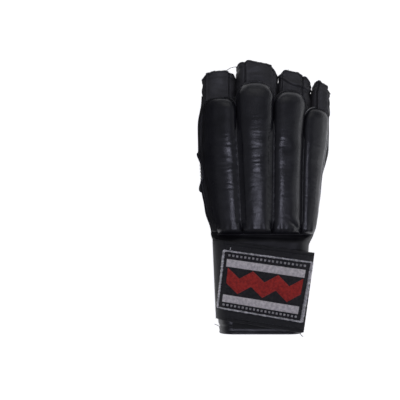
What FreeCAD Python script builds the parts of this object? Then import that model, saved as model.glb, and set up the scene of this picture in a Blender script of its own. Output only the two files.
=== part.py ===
import FreeCAD, Part
import math
import os
import Sketcher

# Padded bag glove for the right hand, lying palm down.
# Millimetres. +X runs to the little-finger side, +Y to the fingertips, +Z up out of the back of the hand.
# The palm rests on Z = 0 and the origin is under the middle of the glove.

Vector = FreeCAD.Vector
doc = FreeCAD.newDocument("mma_glove")

# ---------------------------------------------------------------- dimensions

DIMENSIONS = {
    # back of the hand
    "arch_radius": 110.0,
    "arch_crown_height": 27.0,
    "lining_thickness": 1.2,
    "lining_gap": 0.1,
    "seam_gap": 0.7,
    "wrist_line": -33.0,
    "lining_end": 85.4,
    "lining_end_little": 79.4,
    "lining_step_side": 38.0,
    "lining_half_span": 57.0,
    # leather and seams
    "leather": 1.2,
    "fit_gap": 0.05,
    "cord_radius": 0.6,
    "cord_height": 5.8,
    # palm and side walls
    "palm_thickness": 1.5,
    "wall_thickness": 1.5,
    "palm_wrist": -30.0,
    "palm_end_index": 86.8,
    "palm_end_ring": 84.8,
    "palm_end_little": 79.3,
    "ring_side_left": 10.4,
    "ring_side_right": 41.1,
    "thumb_wall_high": 18.0,
    "thumb_wall_low": 9.0,
    "little_wall_high": 17.2,
    "little_wall_low": 4.8,
    "piping_height": 1.2,
    "thumb_hole_x": -55.0,
    "thumb_hole_y": 22.0,
    "thumb_hole_radius": 19.0,
    "thumb_window_top": 8.5,
    "binding_width": 2.0,
    "binding_height": 2.4,
    # wrist sleeve
    "sleeve_left": -40.0,
    "sleeve_right": 36.0,
    "sleeve_bottom": 1.55,
    "sleeve_top": 20.0,
    "sleeve_corner": 8.0,
    "sleeve_wall": 1.0,
    "sleeve_inner_end": -24.0,
    "sleeve_outer_end": -38.5,
    # cuff
    "cuff_front": -38.5,
    "cuff_front_low": -50.0,
    "cuff_end": -120.0,
    "cuff_left_front": -43.2,
    "cuff_right_front": 39.6,
    "cuff_left_end": -39.6,
    "cuff_right_end": 34.2,
    "cuff_bottom": 2.1,
    "cuff_top": 32.0,
    "cuff_corner": 9.0,
    "shell_wall": 1.6,
    "padding_wall": 2.0,
    "cuff_lining_wall": 0.9,
    "binding_depth": 2.4,
    "slit_left": 5.0,
    "slit_right": 21.0,
    "slit_front": -60.0,
    "gore_overlap": 3.0,
    "gore_thickness": 0.8,
    "loop_left": -28.0,
    "loop_right": 22.0,
    "loop_front": -45.0,
    "loop_end": -115.0,
    "loop_thickness": 0.75,
    # strap
    "strap_thickness": 1.8,
    "strap_side_gap": 0.4,
    "strap_top_gap": 2.0,
    "strap_hinge_height": 17.05,
    "strap_split": 0.2,
    "strap_corner": 10.0,
    "root_corner": 9.3,
    "root_length": 67.0,
    "root_width": 68.0,
    "strap_flat_end": 67.2,
    "droop_radius": 40.0,
    "droop_angle": 36.0,
    "hook_thickness": 0.6,
    "hook_length": 44.0,
    "hook_width": 56.0,
    # label on the strap
    "label_x": -0.6,
    "label_y": -78.5,
    "label_length": 75.4,
    "label_width": 52.3,
    "label_border": 2.2,
    "label_backing": 0.5,
    "label_rim": 1.0,
    "label_print": 0.3,
    "band_length": 68.0,
    "band_width": 6.4,
    "band_offset": 15.8,
    "zigzag_pitch": 10.6,
    "zigzag_rise": 9.5,
    "zigzag_width": 9.5,
}

# one padded roll per finger: place round the arch (degrees), length, radius at the wrist,
# radius at the fingertip end, sideways shift at the wrist, yaw (degrees)
ROLLS = {
    "index": (-19.7, 120.7, 11.2, 14.8, 5.2, 2.8),
    "middle": (-4.45, 134.2, 13.2, 14.6, 1.2, 0.65),
    "ring": (10.45, 126.2, 12.8, 14.2, -1.4, -0.8),
    "little": (24.1, 112.2, 8.0, 11.6, -6.0, -3.3),
}
ROLL_COLUMNS = ("place", "length", "wrist_radius", "tip_radius", "shift", "yaw")

# one open stall per finger: middle line, root, length, width, height, height of the side walls
STALLS = {
    "index": (-39.8, 88.0, 21.3, 26.0, 15.0, 11.0),
    "middle": (-8.05, 88.0, 31.4, 32.5, 16.5, 12.0),
    "ring": (26.75, 86.0, 23.8, 28.3, 14.5, 10.5),
    "little": (49.3, 80.5, 20.5, 15.8, 13.0, 10.0),
}
STALL_COLUMNS = ("middle_line", "root", "length", "width", "height", "side_height")

DIMENSIONS.update({
    "stall_leather": 1.2,
    "hem_wall": 1.8,
    "hem_depth": 2.4,
    "stall_root_gap": 0.4,
})

for finger, row in ROLLS.items():
    for column, value in zip(ROLL_COLUMNS, row):
        DIMENSIONS[f"{finger}_roll_{column}"] = value
for finger, row in STALLS.items():
    for column, value in zip(STALL_COLUMNS, row):
        DIMENSIONS[f"{finger}_stall_{column}"] = value

sheet = doc.addObject("Spreadsheet::Sheet", "dims")
for line, (alias, value) in enumerate(DIMENSIONS.items(), start=1):
    sheet.set(f"A{line}", alias)
    sheet.set(f"B{line}", str(value))
    sheet.setAlias(f"B{line}", alias)
doc.recompute()


class Size:
    """A number together with the sheet formula it comes from."""

    def __init__(self, number, formula):
        self.number = float(number)
        self.formula = formula

    def joined(self, other, sign, number):
        return Size(number, f"({self.formula} {sign} {size(other).formula})")

    def __add__(self, other):
        return self.joined(other, "+", self.number + size(other).number)

    def __sub__(self, other):
        return self.joined(other, "-", self.number - size(other).number)

    def __mul__(self, other):
        return self.joined(other, "*", self.number * size(other).number)

    def __truediv__(self, other):
        return self.joined(other, "/", self.number / size(other).number)

    def __neg__(self):
        return Size(-self.number, f"(0 - {self.formula})")

    def __radd__(self, other):
        return size(other) + self

    def __rsub__(self, other):
        return size(other) - self


def size(value):
    """Turn a plain number into a Size; leave a Size as it is."""
    if isinstance(value, Size):
        return value
    return Size(value, repr(float(value)))


def dim(alias):
    return Size(DIMENSIONS[alias], f"dims.{alias}")


def sine(angle):
    return Size(math.sin(math.radians(angle.number)), f"sin({angle.formula})")


def cosine(angle):
    return Size(math.cos(math.radians(angle.number)), f"cos({angle.formula})")


# ---------------------------------------------------------------- shape helpers

def new_body(label):
    body = doc.addObject("PartDesign::Body", label)
    body.Label = label
    body.AllowCompound = True
    return body


def arc_between(start, end, radius):
    """Arc of the given signed radius from start to end; a positive radius turns left."""
    chord = end.sub(start)
    half = chord.Length / 2
    left = Vector(-chord.y, chord.x, 0).normalize()
    rise = math.sqrt(max(radius * radius - half * half, 0.0))
    centre = start.add(chord * 0.5).add(left * (rise if radius > 0 else -rise))
    first, last = (start, end) if radius > 0 else (end, start)
    begin = math.atan2(first.y - centre.y, first.x - centre.x)
    finish = math.atan2(last.y - centre.y, last.x - centre.x)
    return Part.ArcOfCircle(Part.Circle(centre, Vector(0, 0, 1), abs(radius)), begin, finish)


def draw(sketch, loop):
    """Draw one closed loop of corners (x, y) or (x, y, radius of the arc to the next corner)."""
    corners = [(size(corner[0]), size(corner[1])) for corner in loop]
    points = [Vector(x.number, y.number, 0) for x, y in corners]
    offset = sketch.GeometryCount
    constraints = []
    formulas = []
    ends = []
    for place, corner in enumerate(loop):
        start = points[place]
        end = points[(place + 1) % len(loop)]
        if len(corner) == 3:
            radius = size(corner[2])
            number = sketch.addGeometry(arc_between(start, end, radius.number), False)
            ends.append((1, 2) if radius.number > 0 else (2, 1))
            constraints.append(Sketcher.Constraint("Radius", number, abs(radius.number)))
            formulas.append(radius.formula if radius.number > 0 else f"(0 - {radius.formula})")
        else:
            number = sketch.addGeometry(Part.LineSegment(start, end), False)
            ends.append((1, 2))
    for place, (x, y) in enumerate(corners):
        start_end = ends[place][0]
        constraints.append(Sketcher.Constraint("DistanceX", offset + place, start_end, x.number))
        formulas.append(x.formula)
        constraints.append(Sketcher.Constraint("DistanceY", offset + place, start_end, y.number))
        formulas.append(y.formula)
    for place in range(len(loop)):
        following = (place + 1) % len(loop)
        constraints.append(Sketcher.Constraint(
            "Coincident", offset + place, ends[place][1], offset + following, ends[following][0]))
    first = sketch.ConstraintCount
    sketch.addConstraint(constraints)
    for place, formula in enumerate(formulas):
        sketch.setExpression(f"Constraints[{first + place}]", formula)


def new_sketch(body, name, plane, loops, lift=None):
    """Sketch on one of the body's own planes, lifted along the plane's normal."""
    sketch = body.newObject("Sketcher::SketchObject", f"{body.Name}_{name}")
    support = [item for item in body.Origin.OriginFeatures if item.Role == plane][0]
    sketch.AttachmentSupport = [(support, "")]
    sketch.MapMode = "FlatFace"
    if lift is not None:
        sketch.AttachmentOffset = FreeCAD.Placement(Vector(0, 0, lift.number), FreeCAD.Rotation())
        sketch.setExpression("AttachmentOffset.Base.z", lift.formula)
    for loop in loops:
        draw(sketch, loop)
    return sketch


def pad(body, sketch, length, reversed_way=False):
    feature = body.newObject("PartDesign::Pad", f"{sketch.Name}_pad")
    feature.Profile = sketch
    feature.Length = length.number
    feature.setExpression("Length", length.formula)
    feature.Reversed = reversed_way
    body.Tip = feature
    return feature


def cut_through(body, sketch):
    """Cut the sketch out of the body in both directions."""
    feature = body.newObject("PartDesign::Pocket", f"{sketch.Name}_cut")
    feature.Profile = sketch
    feature.Type = "ThroughAll"
    feature.SideType = "Symmetric"
    body.Tip = feature
    return feature


def loft(body, first, last, subtract=False):
    kind = "SubtractiveLoft" if subtract else "AdditiveLoft"
    feature = body.newObject(f"PartDesign::{kind}", f"{first.Name}_loft")
    feature.Profile = first
    feature.Sections = [last]
    feature.Ruled = True
    body.Tip = feature
    return feature


def rectangle(left, right, bottom, top):
    return [(left, bottom), (right, bottom), (right, top), (left, top)]


def rounded(left, right, bottom, top, corner):
    """Rectangle with rounded corners, walked to the left from its lower left side."""
    return [
        (left + corner, bottom),
        (right - corner, bottom, corner),
        (right, bottom + corner),
        (right, top - corner, corner),
        (right - corner, top),
        (left + corner, top, corner),
        (left, top - corner),
        (left, bottom + corner, corner),
    ]


def compound(label, members):
    group = doc.addObject("Part::Compound", label)
    group.Label = label
    group.Links = members
    return group


def turned(x, y, z, axis, angle):
    return FreeCAD.Placement(Vector(x, y, z), FreeCAD.Rotation(axis, angle))


parts = []

# ---------------------------------------------------------------- palm and side walls

palm_thickness = dim("palm_thickness")
wall = dim("wall_thickness")
palm_wrist = dim("palm_wrist")

# thumb side and little-finger side of the hand, from the wrist to the finger roots
thumb_side = [(-45.8, palm_wrist), (-52.3, -8), (-57.2, 25), (-57.2, 66), (-53.9, 76),
              (-53.2, dim("palm_end_index"))]
little_side = [(42.3, palm_wrist), (47, -10), (49.5, 15), (57.2, 42), (57.2, dim("palm_end_little"))]

hole_x = dim("thumb_hole_x")
hole_y = dim("thumb_hole_y")
hole_radius = dim("thumb_hole_radius")
binding_width = dim("binding_width")


def half_disc(radius):
    """Right-hand half of a disc at the thumb hole, run on to the left past the edge."""
    return [
        (hole_x - 12, hole_y - radius),
        (hole_x, hole_y - radius, radius),
        (hole_x + radius, hole_y, radius),
        (hole_x, hole_y + radius),
        (hole_x - 12, hole_y + radius),
    ]


palm = new_body("palm_panel")
outline = little_side + [
    (dim("ring_side_right"), dim("palm_end_little")),
    (dim("ring_side_right"), dim("palm_end_ring")),
    (dim("ring_side_left"), dim("palm_end_ring")),
    (dim("ring_side_left"), dim("palm_end_index")),
] + thumb_side[::-1]
pad(palm, new_sketch(palm, "outline", "XY_Plane", [outline]), palm_thickness)
cut_through(palm, new_sketch(palm, "thumb_hole", "XY_Plane", [half_disc(hole_radius)]))
parts.append(palm)

thumb_binding = new_body("thumb_opening_binding")
hole_ring = [
    (hole_x, hole_y - hole_radius, hole_radius),
    (hole_x + hole_radius, hole_y, hole_radius),
    (hole_x, hole_y + hole_radius),
    (hole_x, hole_y + hole_radius - binding_width, -(hole_radius - binding_width)),
    (hole_x + hole_radius - binding_width, hole_y, -(hole_radius - binding_width)),
    (hole_x, hole_y - hole_radius + binding_width),
]
pad(thumb_binding, new_sketch(thumb_binding, "ring", "XY_Plane", [hole_ring]), dim("binding_height"))
parts.append(thumb_binding)


def side_wall(label, side, inward, base, low_edge, high_edge):
    """Upright strip along one side of the palm with sloping lower and upper edges (y, z pairs)."""
    strip = new_body(label)
    inner = [(x + inward, y) for x, y in side]
    loop = side + inner[::-1]
    pad(strip, new_sketch(strip, "run", "XY_Plane", [loop], base), size(30))
    above = [high_edge[0], high_edge[1], (high_edge[1][0], size(60)), (high_edge[0][0], size(60))]
    cut_through(strip, new_sketch(strip, "above", "YZ_Plane", [above]))
    if low_edge:
        below = [low_edge[0], low_edge[1], (low_edge[1][0], size(-20)), (low_edge[0][0], size(-20))]
        cut_through(strip, new_sketch(strip, "below", "YZ_Plane", [below]))
    return strip


def raised(edge, lift):
    return [(y, z + lift) for y, z in edge]


near = palm_wrist - 2
thumb_edge = [(near, dim("thumb_wall_high")), (dim("palm_end_index") + 2, dim("thumb_wall_low"))]
little_edge = [(near, dim("little_wall_high")), (dim("palm_end_little") + 2, dim("little_wall_low"))]
wall_base = palm_thickness + dim("fit_gap")

thumb_gusset = side_wall("thumb_side_gusset", thumb_side, wall, wall_base, None, thumb_edge)
window = rectangle(hole_y - hole_radius, hole_y + hole_radius, size(0), dim("thumb_window_top"))
cut_through(thumb_gusset, new_sketch(thumb_gusset, "window", "YZ_Plane", [window]))
parts.append(thumb_gusset)
little_gusset = side_wall("little_side_gusset", little_side, -wall, wall_base, None, little_edge)
parts.append(little_gusset)

for label, side, inward, edge in (
        ("thumb_side_piping", thumb_side, wall, thumb_edge),
        ("little_side_piping", little_side, -wall, little_edge)):
    low = raised(edge, dim("fit_gap"))
    high = raised(edge, dim("piping_height"))
    parts.append(side_wall(label, side, inward, size(1), low, high))

# ---------------------------------------------------------------- padded back of the hand

PITCH = -3.2
arch_radius = dim("arch_radius")
lining = dim("lining_thickness")
leather = dim("leather")
fit_gap = dim("fit_gap")
roll_seat = (DIMENSIONS["arch_radius"] + DIMENSIONS["lining_thickness"] + DIMENSIONS["lining_gap"])

# frame of the arched back: its wrist end, dropping towards the fingers
back_frame = turned(0, DIMENSIONS["wrist_line"], DIMENSIONS["arch_crown_height"], Vector(1, 0, 0), PITCH)


def round_arch(place, shift, yaw, lift=0.0):
    """Placement on the arched back: degrees round the arch, then a shift and a yaw in that plane."""
    centre = FreeCAD.Placement(Vector(0, 0, -DIMENSIONS["arch_radius"]), FreeCAD.Rotation())
    tilt = turned(0, 0, 0, Vector(0, 1, 0), place)
    seat = turned(shift, 0, roll_seat + lift, Vector(0, 0, 1), yaw)
    return back_frame.multiply(centre).multiply(tilt).multiply(seat)


def arch_height(x, radius):
    """Height of the arch over a distance from its middle line, with the crown at zero."""
    root = math.sqrt(radius.number ** 2 - x.number ** 2)
    formula = f"sqrt({radius.formula} * {radius.formula} - {x.formula} * {x.formula})"
    return Size(root, formula) - arch_radius


wrist_line = dim("wrist_line")
back_lining = new_body("back_lining")
half_span = dim("lining_half_span")
outer_radius = arch_radius + lining
section = [
    (-half_span, arch_height(half_span, arch_radius)),
    (-half_span, arch_height(half_span, outer_radius), -outer_radius),
    (half_span, arch_height(half_span, outer_radius)),
    (half_span, arch_height(half_span, arch_radius), arch_radius),
]
reach = dim("lining_end") - wrist_line
pad(back_lining, new_sketch(back_lining, "arch", "XZ_Plane", [section], size(0)), reach, True)


def lining_edge(side, inset):
    """Edge of the lining just inside a side wall, in the frame of the arched back."""
    edge = [(x + inset, size(y) - wrist_line) for x, y in side]
    return [(edge[0][0], size(-5))] + edge + [(edge[-1][0], reach + 5)]


seam_inset = wall + dim("seam_gap")
thumb_edge_line = lining_edge(thumb_side, seam_inset)
little_edge_line = lining_edge(little_side, -seam_inset)
step_end = dim("lining_end_little") - wrist_line
outside_thumb = thumb_edge_line + [(size(-90), reach + 5), (size(-90), size(-5))]
outside_little = little_edge_line[:-2] + [
    (little_edge_line[-2][0], step_end),
    (dim("lining_step_side"), step_end),
    (dim("lining_step_side"), reach + 5),
    (size(90), reach + 5),
    (size(90), size(-5)),
]
for name, loop in (("thumb_trim", outside_thumb), ("little_trim", outside_little)):
    cut_through(back_lining, new_sketch(back_lining, name, "XY_Plane", [loop]))
back_lining.Placement = back_frame
parts.append(back_lining)


def roll_profile(start, length, wrist_radius, tip_radius):
    """Outline of a tapered roll with a round fingertip end, beside its own middle line."""
    return [
        (size(0), start),
        (wrist_radius, start),
        (tip_radius, length - tip_radius, tip_radius),
        (size(0), length),
    ]


def half_roll(label, loop):
    roll = new_body(label)
    sketch = new_sketch(roll, "profile", "XY_Plane", [loop])
    turn = roll.newObject("PartDesign::Revolution", f"{label}_turn")
    turn.Profile = sketch
    turn.ReferenceAxis = (sketch, ["V_Axis"])
    turn.Angle = 180
    turn.Reversed = True
    roll.Tip = turn
    return roll


for finger, (place, length, wrist_radius, tip_radius, shift, yaw) in ROLLS.items():
    length = dim(f"{finger}_roll_length")
    wrist_radius = dim(f"{finger}_roll_wrist_radius")
    tip_radius = dim(f"{finger}_roll_tip_radius")
    inset = leather + fit_gap
    cover_loop = [
        (size(0), size(0)),
        (wrist_radius, size(0)),
        (tip_radius, length - tip_radius, tip_radius),
        (size(0), length),
        (size(0), length - leather, -(tip_radius - leather)),
        (tip_radius - leather, length - tip_radius),
        (wrist_radius - leather, leather),
        (size(0), leather),
    ]
    cover = half_roll(f"{finger}_pad_cover", cover_loop)
    foam_loop = roll_profile(inset, length - inset, wrist_radius - inset, tip_radius - inset)
    foam = half_roll(f"{finger}_foam_roll", foam_loop)
    for piece in (foam, cover):
        piece.Placement = round_arch(place, shift, yaw)
        parts.append(piece)

seams = []
fingers = list(ROLLS)
for left, right in zip(fingers, fingers[1:]):
    a = ROLLS[left]
    b = ROLLS[right]
    shorter = left if a[1] - a[3] < b[1] - b[3] else right
    cord = doc.addObject("Part::Cylinder", f"{left}_{right}_seam")
    cord.setExpression("Radius", "dims.cord_radius")
    cord.setExpression("Height", f"dims.{shorter}_roll_length - dims.{shorter}_roll_tip_radius - 6")
    half_turn = (math.degrees(math.asin(a[3] / roll_seat)) - math.degrees(math.asin(b[3] / roll_seat))) / 2
    groove = (a[0] + b[0]) / 2 + half_turn
    along = round_arch(groove, (a[4] + b[4]) / 2 + (a[2] - b[2] - a[3] + b[3]) / 2,
                       (a[5] + b[5]) / 2, DIMENSIONS["cord_height"])
    cord.Placement = along.multiply(turned(0, 1, 0, Vector(1, 0, 0), -90))
    seams.append(cord)
parts.append(compound("channel_seam_cords", seams))

# ---------------------------------------------------------------- wrist sleeve

sleeve = new_body("wrist_lining")
sleeve_wall = dim("sleeve_wall")
sides = (dim("sleeve_left"), dim("sleeve_right"), dim("sleeve_bottom"), dim("sleeve_top"))
outer_loop = rounded(*sides, dim("sleeve_corner"))
inner_loop = rounded(sides[0] + sleeve_wall, sides[1] - sleeve_wall, sides[2] + sleeve_wall,
                     sides[3] - sleeve_wall, dim("sleeve_corner") - sleeve_wall)
sleeve_sketch = new_sketch(sleeve, "ring", "XZ_Plane", [outer_loop, inner_loop], -dim("sleeve_inner_end"))
pad(sleeve, sleeve_sketch, dim("sleeve_inner_end") - dim("sleeve_outer_end"))
parts.append(sleeve)

# ---------------------------------------------------------------- finger stalls

stall_leather = dim("stall_leather")
hem_wall = dim("hem_wall")
hem_depth = dim("hem_depth")


def arch_loop(half, side_height, height, inset, floor):
    """Closed outline of a stall: flat floor, upright sides, arched top."""
    rise = height.number - side_height.number
    radius = (half.number ** 2 + rise ** 2) / (2 * rise)
    rise_formula = f"({height.formula} - {side_height.formula})"
    formula = f"(({half.formula} * {half.formula} + {rise_formula} * {rise_formula}) / (2 * {rise_formula}))"
    top_radius = Size(radius, formula) - inset
    drop = math.sqrt(top_radius.number ** 2 - (half.number - inset.number) ** 2)
    spring = Size(drop, f"sqrt({top_radius.formula} * {top_radius.formula} - "
                        f"({half.formula} - {inset.formula}) * ({half.formula} - {inset.formula}))")
    shoulder = height - Size(radius, formula) + spring
    return [
        (-(half - inset), floor),
        (half - inset, floor),
        (half - inset, shoulder, top_radius),
        (-(half - inset), shoulder),
    ]


for finger, (middle_line, root, _, _, _, _) in STALLS.items():
    length = dim(f"{finger}_stall_length")
    half = dim(f"{finger}_stall_width") / 2
    height = dim(f"{finger}_stall_height")
    side_height = dim(f"{finger}_stall_side_height")
    body_end = length - hem_depth - fit_gap
    outer = arch_loop(half, side_height, height, size(0), size(0))
    inner = arch_loop(half, side_height, height, stall_leather, stall_leather)
    shoulder = outer[2][1]
    inner_shoulder = inner[2][1]

    back = new_body(f"{finger}_stall_back")
    back_loop = [
        (half, shoulder, outer[2][2]),
        (-half, shoulder),
        (-(half - stall_leather), inner_shoulder, -inner[2][2]),
        (half - stall_leather, inner_shoulder),
    ]
    pad(back, new_sketch(back, "arch", "XZ_Plane", [back_loop]), body_end, True)

    front = new_body(f"{finger}_stall_palm")
    gap = dim("stall_root_gap")
    strip = rectangle(-(half - stall_leather - fit_gap), half - stall_leather - fit_gap, gap, body_end)
    pad(front, new_sketch(front, "strip", "XY_Plane", [strip]), stall_leather)

    sides = new_body(f"{finger}_fourchettes")
    low = min(shoulder.number, inner_shoulder.number)
    top = (shoulder if shoulder.number == low else inner_shoulder) - fit_gap
    left_wall = rectangle(-half, -(half - stall_leather), size(0), top)
    right_wall = rectangle(half - stall_leather, half, size(0), top)
    pad(sides, new_sketch(sides, "walls", "XZ_Plane", [left_wall, right_wall], -gap), body_end - gap, True)

    hem = new_body(f"{finger}_hem")
    hem_inner = arch_loop(half, side_height, height, hem_wall, hem_wall)
    ring = new_sketch(hem, "ring", "XZ_Plane", [outer, hem_inner], -(length - hem_depth))
    pad(hem, ring, hem_depth, True)

    for piece in (back, front, sides, hem):
        piece.Placement = FreeCAD.Placement(Vector(middle_line, root, 0), FreeCAD.Rotation())
        parts.append(piece)

# ---------------------------------------------------------------- cuff

cuff_front = dim("cuff_front")
cuff_end = dim("cuff_end")
shell_wall = dim("shell_wall")
padding_wall = dim("padding_wall")
lining_wall = dim("cuff_lining_wall")
full_wall = shell_wall + padding_wall + lining_wall
binding_depth = dim("binding_depth")


def cuff_section(y, inset):
    """Rounded section of the cuff at a distance along the wrist, drawn in by an inset."""
    part = (cuff_front - y) / (cuff_front - cuff_end)
    left = dim("cuff_left_front") + (dim("cuff_left_end") - dim("cuff_left_front")) * part + inset
    right = dim("cuff_right_front") + (dim("cuff_right_end") - dim("cuff_right_front")) * part - inset
    return rounded(left, right, dim("cuff_bottom") + inset, dim("cuff_top") - inset,
                   dim("cuff_corner") - inset)


def slanted_cut(body, name, shift, forward):
    """Cut away everything in front of (or behind) the slanting mouth of the cuff."""
    top = (cuff_front - shift, dim("cuff_top"))
    low = (dim("cuff_front_low") - shift, size(0))
    run = (top[0] - low[0]) * 10 / dim("cuff_top")
    edge = [(low[0] - run, size(-10)), (top[0] + run, dim("cuff_top") + 10)]
    far = size(-20) if forward else size(-140)
    loop = edge + [(far, dim("cuff_top") + 10), (far, size(-10))]
    cut_through(body, new_sketch(body, name, "YZ_Plane", [loop]))


def slit_cut(body):
    slit = rectangle(dim("slit_left"), dim("slit_right"), cuff_end - 5, dim("slit_front"))
    cutter = new_sketch(body, "slit", "XY_Plane", [slit])
    feature = body.newObject("PartDesign::Pocket", f"{body.Name}_slit_cut")
    feature.Profile = cutter
    feature.Reversed = True
    feature.Length = 12
    feature.setExpression("Length", "dims.cuff_corner + 3")
    body.Tip = feature


def cuff_tube(label, inset, wall_size, start, end):
    tube = new_body(label)
    outer_start = new_sketch(tube, "outer_start", "XZ_Plane", [cuff_section(start, inset)], -start)
    outer_end = new_sketch(tube, "outer_end", "XZ_Plane", [cuff_section(end, inset)], -end)
    loft(tube, outer_start, outer_end)
    deep = inset + wall_size
    inner_start = new_sketch(tube, "inner_start", "XZ_Plane", [cuff_section(start, deep)], -start)
    inner_end = new_sketch(tube, "inner_end", "XZ_Plane", [cuff_section(end, deep)], -end)
    loft(tube, inner_start, inner_end, True)
    return tube


layer_end = cuff_end + binding_depth + fit_gap
layers = (
    ("cuff_shell", size(0), shell_wall - fit_gap),
    ("cuff_padding", shell_wall, padding_wall - fit_gap),
    ("cuff_lining", shell_wall + padding_wall, lining_wall),
)
for label, inset, wall_size in layers:
    tube = cuff_tube(label, inset, wall_size, cuff_front, layer_end)
    slanted_cut(tube, "mouth", binding_depth + fit_gap, True)
    slit_cut(tube)
    parts.append(tube)

mouth = cuff_tube("cuff_mouth_binding", size(0), full_wall, cuff_front, dim("cuff_front_low") - 6)
slanted_cut(mouth, "mouth", size(0), True)
slanted_cut(mouth, "back", binding_depth, False)
parts.append(mouth)

hem_ring = cuff_tube("cuff_hem_binding", size(0), full_wall, layer_end - fit_gap, cuff_end)
slit_cut(hem_ring)
parts.append(hem_ring)

gore = new_body("wrist_gore")
overlap = dim("gore_overlap")
gore_plan = rectangle(dim("slit_left") - overlap, dim("slit_right") + overlap,
                      cuff_end + 1, dim("slit_front") + overlap)
gore_sketch = new_sketch(gore, "plan", "XY_Plane", [gore_plan], dim("cuff_bottom") + full_wall + fit_gap)
pad(gore, gore_sketch, dim("gore_thickness"))
parts.append(gore)

loop_panel = new_body("loop_panel")
loop_plan = rectangle(dim("loop_left"), dim("loop_right"), dim("loop_end"), dim("loop_front"))
loop_sketch = new_sketch(loop_panel, "plan", "XY_Plane", [loop_plan], dim("cuff_top") + fit_gap)
pad(loop_panel, loop_sketch, dim("loop_thickness"))
parts.append(loop_panel)

# ---------------------------------------------------------------- strap

strap = dim("strap_thickness")
side_gap = dim("strap_side_gap")
hinge_height = dim("strap_hinge_height")
split = dim("strap_split")
underside = dim("cuff_top") + dim("strap_top_gap")

# frame of the strap: the thumb-side edge of the cuff, following its taper
taper = math.degrees(math.atan2(
    DIMENSIONS["cuff_left_end"] - DIMENSIONS["cuff_left_front"],
    DIMENSIONS["cuff_front"] - DIMENSIONS["cuff_end"]))
strap_frame = turned(DIMENSIONS["cuff_left_front"], DIMENSIONS["cuff_front"], 0, Vector(0, 0, 1), taper)

root = new_body("strap_root")
root_corner = dim("root_corner")
floor_side = -side_gap
root_profile = [
    (floor_side, hinge_height),
    (floor_side - strap, hinge_height),
    (floor_side - strap, strap + root_corner, root_corner + strap),
    (floor_side + root_corner, size(0)),
    (dim("root_length"), size(0)),
    (dim("root_length"), strap),
    (floor_side + root_corner, strap, -root_corner),
    (floor_side, strap + root_corner),
]
pad(root, new_sketch(root, "profile", "XZ_Plane", [root_profile], size(2)), dim("root_width"))
root.Placement = strap_frame
mouth_line = [(size(-4), dim("cuff_top")), (dim("cuff_front_low") - cuff_front - 3, size(-2)),
              (size(20), size(-2)), (size(20), dim("cuff_top"))]
cut_through(root, new_sketch(root, "mouth", "YZ_Plane", [mouth_line]))
parts.append(root)

corner = dim("strap_corner")
flat_end = dim("strap_flat_end")
droop_radius = dim("droop_radius")
droop = dim("droop_angle")


def strap_profile(low, high, with_side):
    """Section of a layer over the cuff, between two distances above the strap's underside."""
    foot = hinge_height + split * 2
    centre_height = underside - droop_radius

    def tip(offset):
        return (flat_end + (droop_radius + offset) * sine(droop),
                centre_height + (droop_radius + offset) * cosine(droop))

    inner_tip = tip(low)
    outer_tip = tip(high)
    start = foot if with_side else underside - corner
    loop = []
    if with_side:
        loop.append((-side_gap - high, start))
    loop += [
        (-side_gap - high, underside - corner, -(corner + high)),
        (corner - side_gap, underside + high),
        (flat_end, underside + high, -(droop_radius + high)),
        outer_tip,
        (inner_tip[0], inner_tip[1], droop_radius + low),
        (flat_end, underside + low),
        (corner - side_gap, underside + low, corner + low),
        (-side_gap - low, underside - corner),
    ]
    if with_side:
        loop.append((-side_gap - low, start))
    return loop


def strap_layer(label, low, high, plans, placement, with_side=False):
    """Layer that follows the strap, cut to plan outlines seen from above."""
    band = new_body(f"{label}_band")
    profile = new_sketch(band, "profile", "XZ_Plane", [strap_profile(low, high, with_side)], size(-12))
    pad(band, profile, size(110))
    band.Placement = strap_frame
    prism = new_body(f"{label}_plan")
    pad(prism, new_sketch(prism, "plan", "XY_Plane", plans), size(60))
    prism.Placement = placement
    layer = doc.addObject("Part::Common", label)
    layer.Label = label
    layer.Base = band
    layer.Tool = prism
    parts.append(layer)
    return layer


origin = FreeCAD.Placement()
flap_plan = [(-50, -37.2), (-50, -105.5), (33.9, -118.6), (43.7, -49)]
strap_layer("strap_flap", size(0), strap, [flap_plan], origin, True)

edge_strips = [
    [(-38, -37.6), (-38, -40.0), (42.5, -51.5), (42.8, -49.1)],
    [(-38, -105.1), (-38, -107.2), (33.0, -118.3), (33.3, -116.2)],
]
strap_layer("strap_edge_binding", strap + fit_gap, strap + 0.6, edge_strips, origin)

label_frame = turned(DIMENSIONS["label_x"], DIMENSIONS["label_y"], 0, Vector(0, 0, 1), -9.2)
half_length = dim("label_length") / 2
half_width = dim("label_width") / 2
border = dim("label_border")

hook = new_body("hook_patch")
hook_plan = rectangle(-dim("hook_length") / 2, dim("hook_length") / 2,
                      -dim("hook_width") / 2, dim("hook_width") / 2)
hook_level = underside - dim("hook_thickness") - fit_gap
pad(hook, new_sketch(hook, "plan", "XY_Plane", [hook_plan], hook_level), dim("hook_thickness"))
hook.Placement = label_frame
parts.append(hook)

inner_length = half_length - border
inner_width = half_width - border
face = strap + fit_gap
frame_loops = [
    rectangle(-half_length, half_length, -half_width, half_width),
    rectangle(-inner_length, inner_length, -inner_width, inner_width),
]
strap_layer("label_border", face, face + dim("label_rim"), frame_loops, label_frame)

ground_length = inner_length - fit_gap
ground_width = inner_width - fit_gap
ground = rectangle(-ground_length, ground_length, -ground_width, ground_width)
strap_layer("label_backing", face, face + dim("label_backing"), [ground], label_frame)

print_low = face + dim("label_backing") + fit_gap
print_high = print_low + dim("label_print")
bands = []
for side in (-1, 1):
    middle = dim("band_offset") * side
    bands.append(rectangle(-dim("band_length") / 2, dim("band_length") / 2,
                           middle - dim("band_width") / 2, middle + dim("band_width") / 2))
strap_layer("label_light_bands", print_low, print_high, bands, label_frame)

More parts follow.
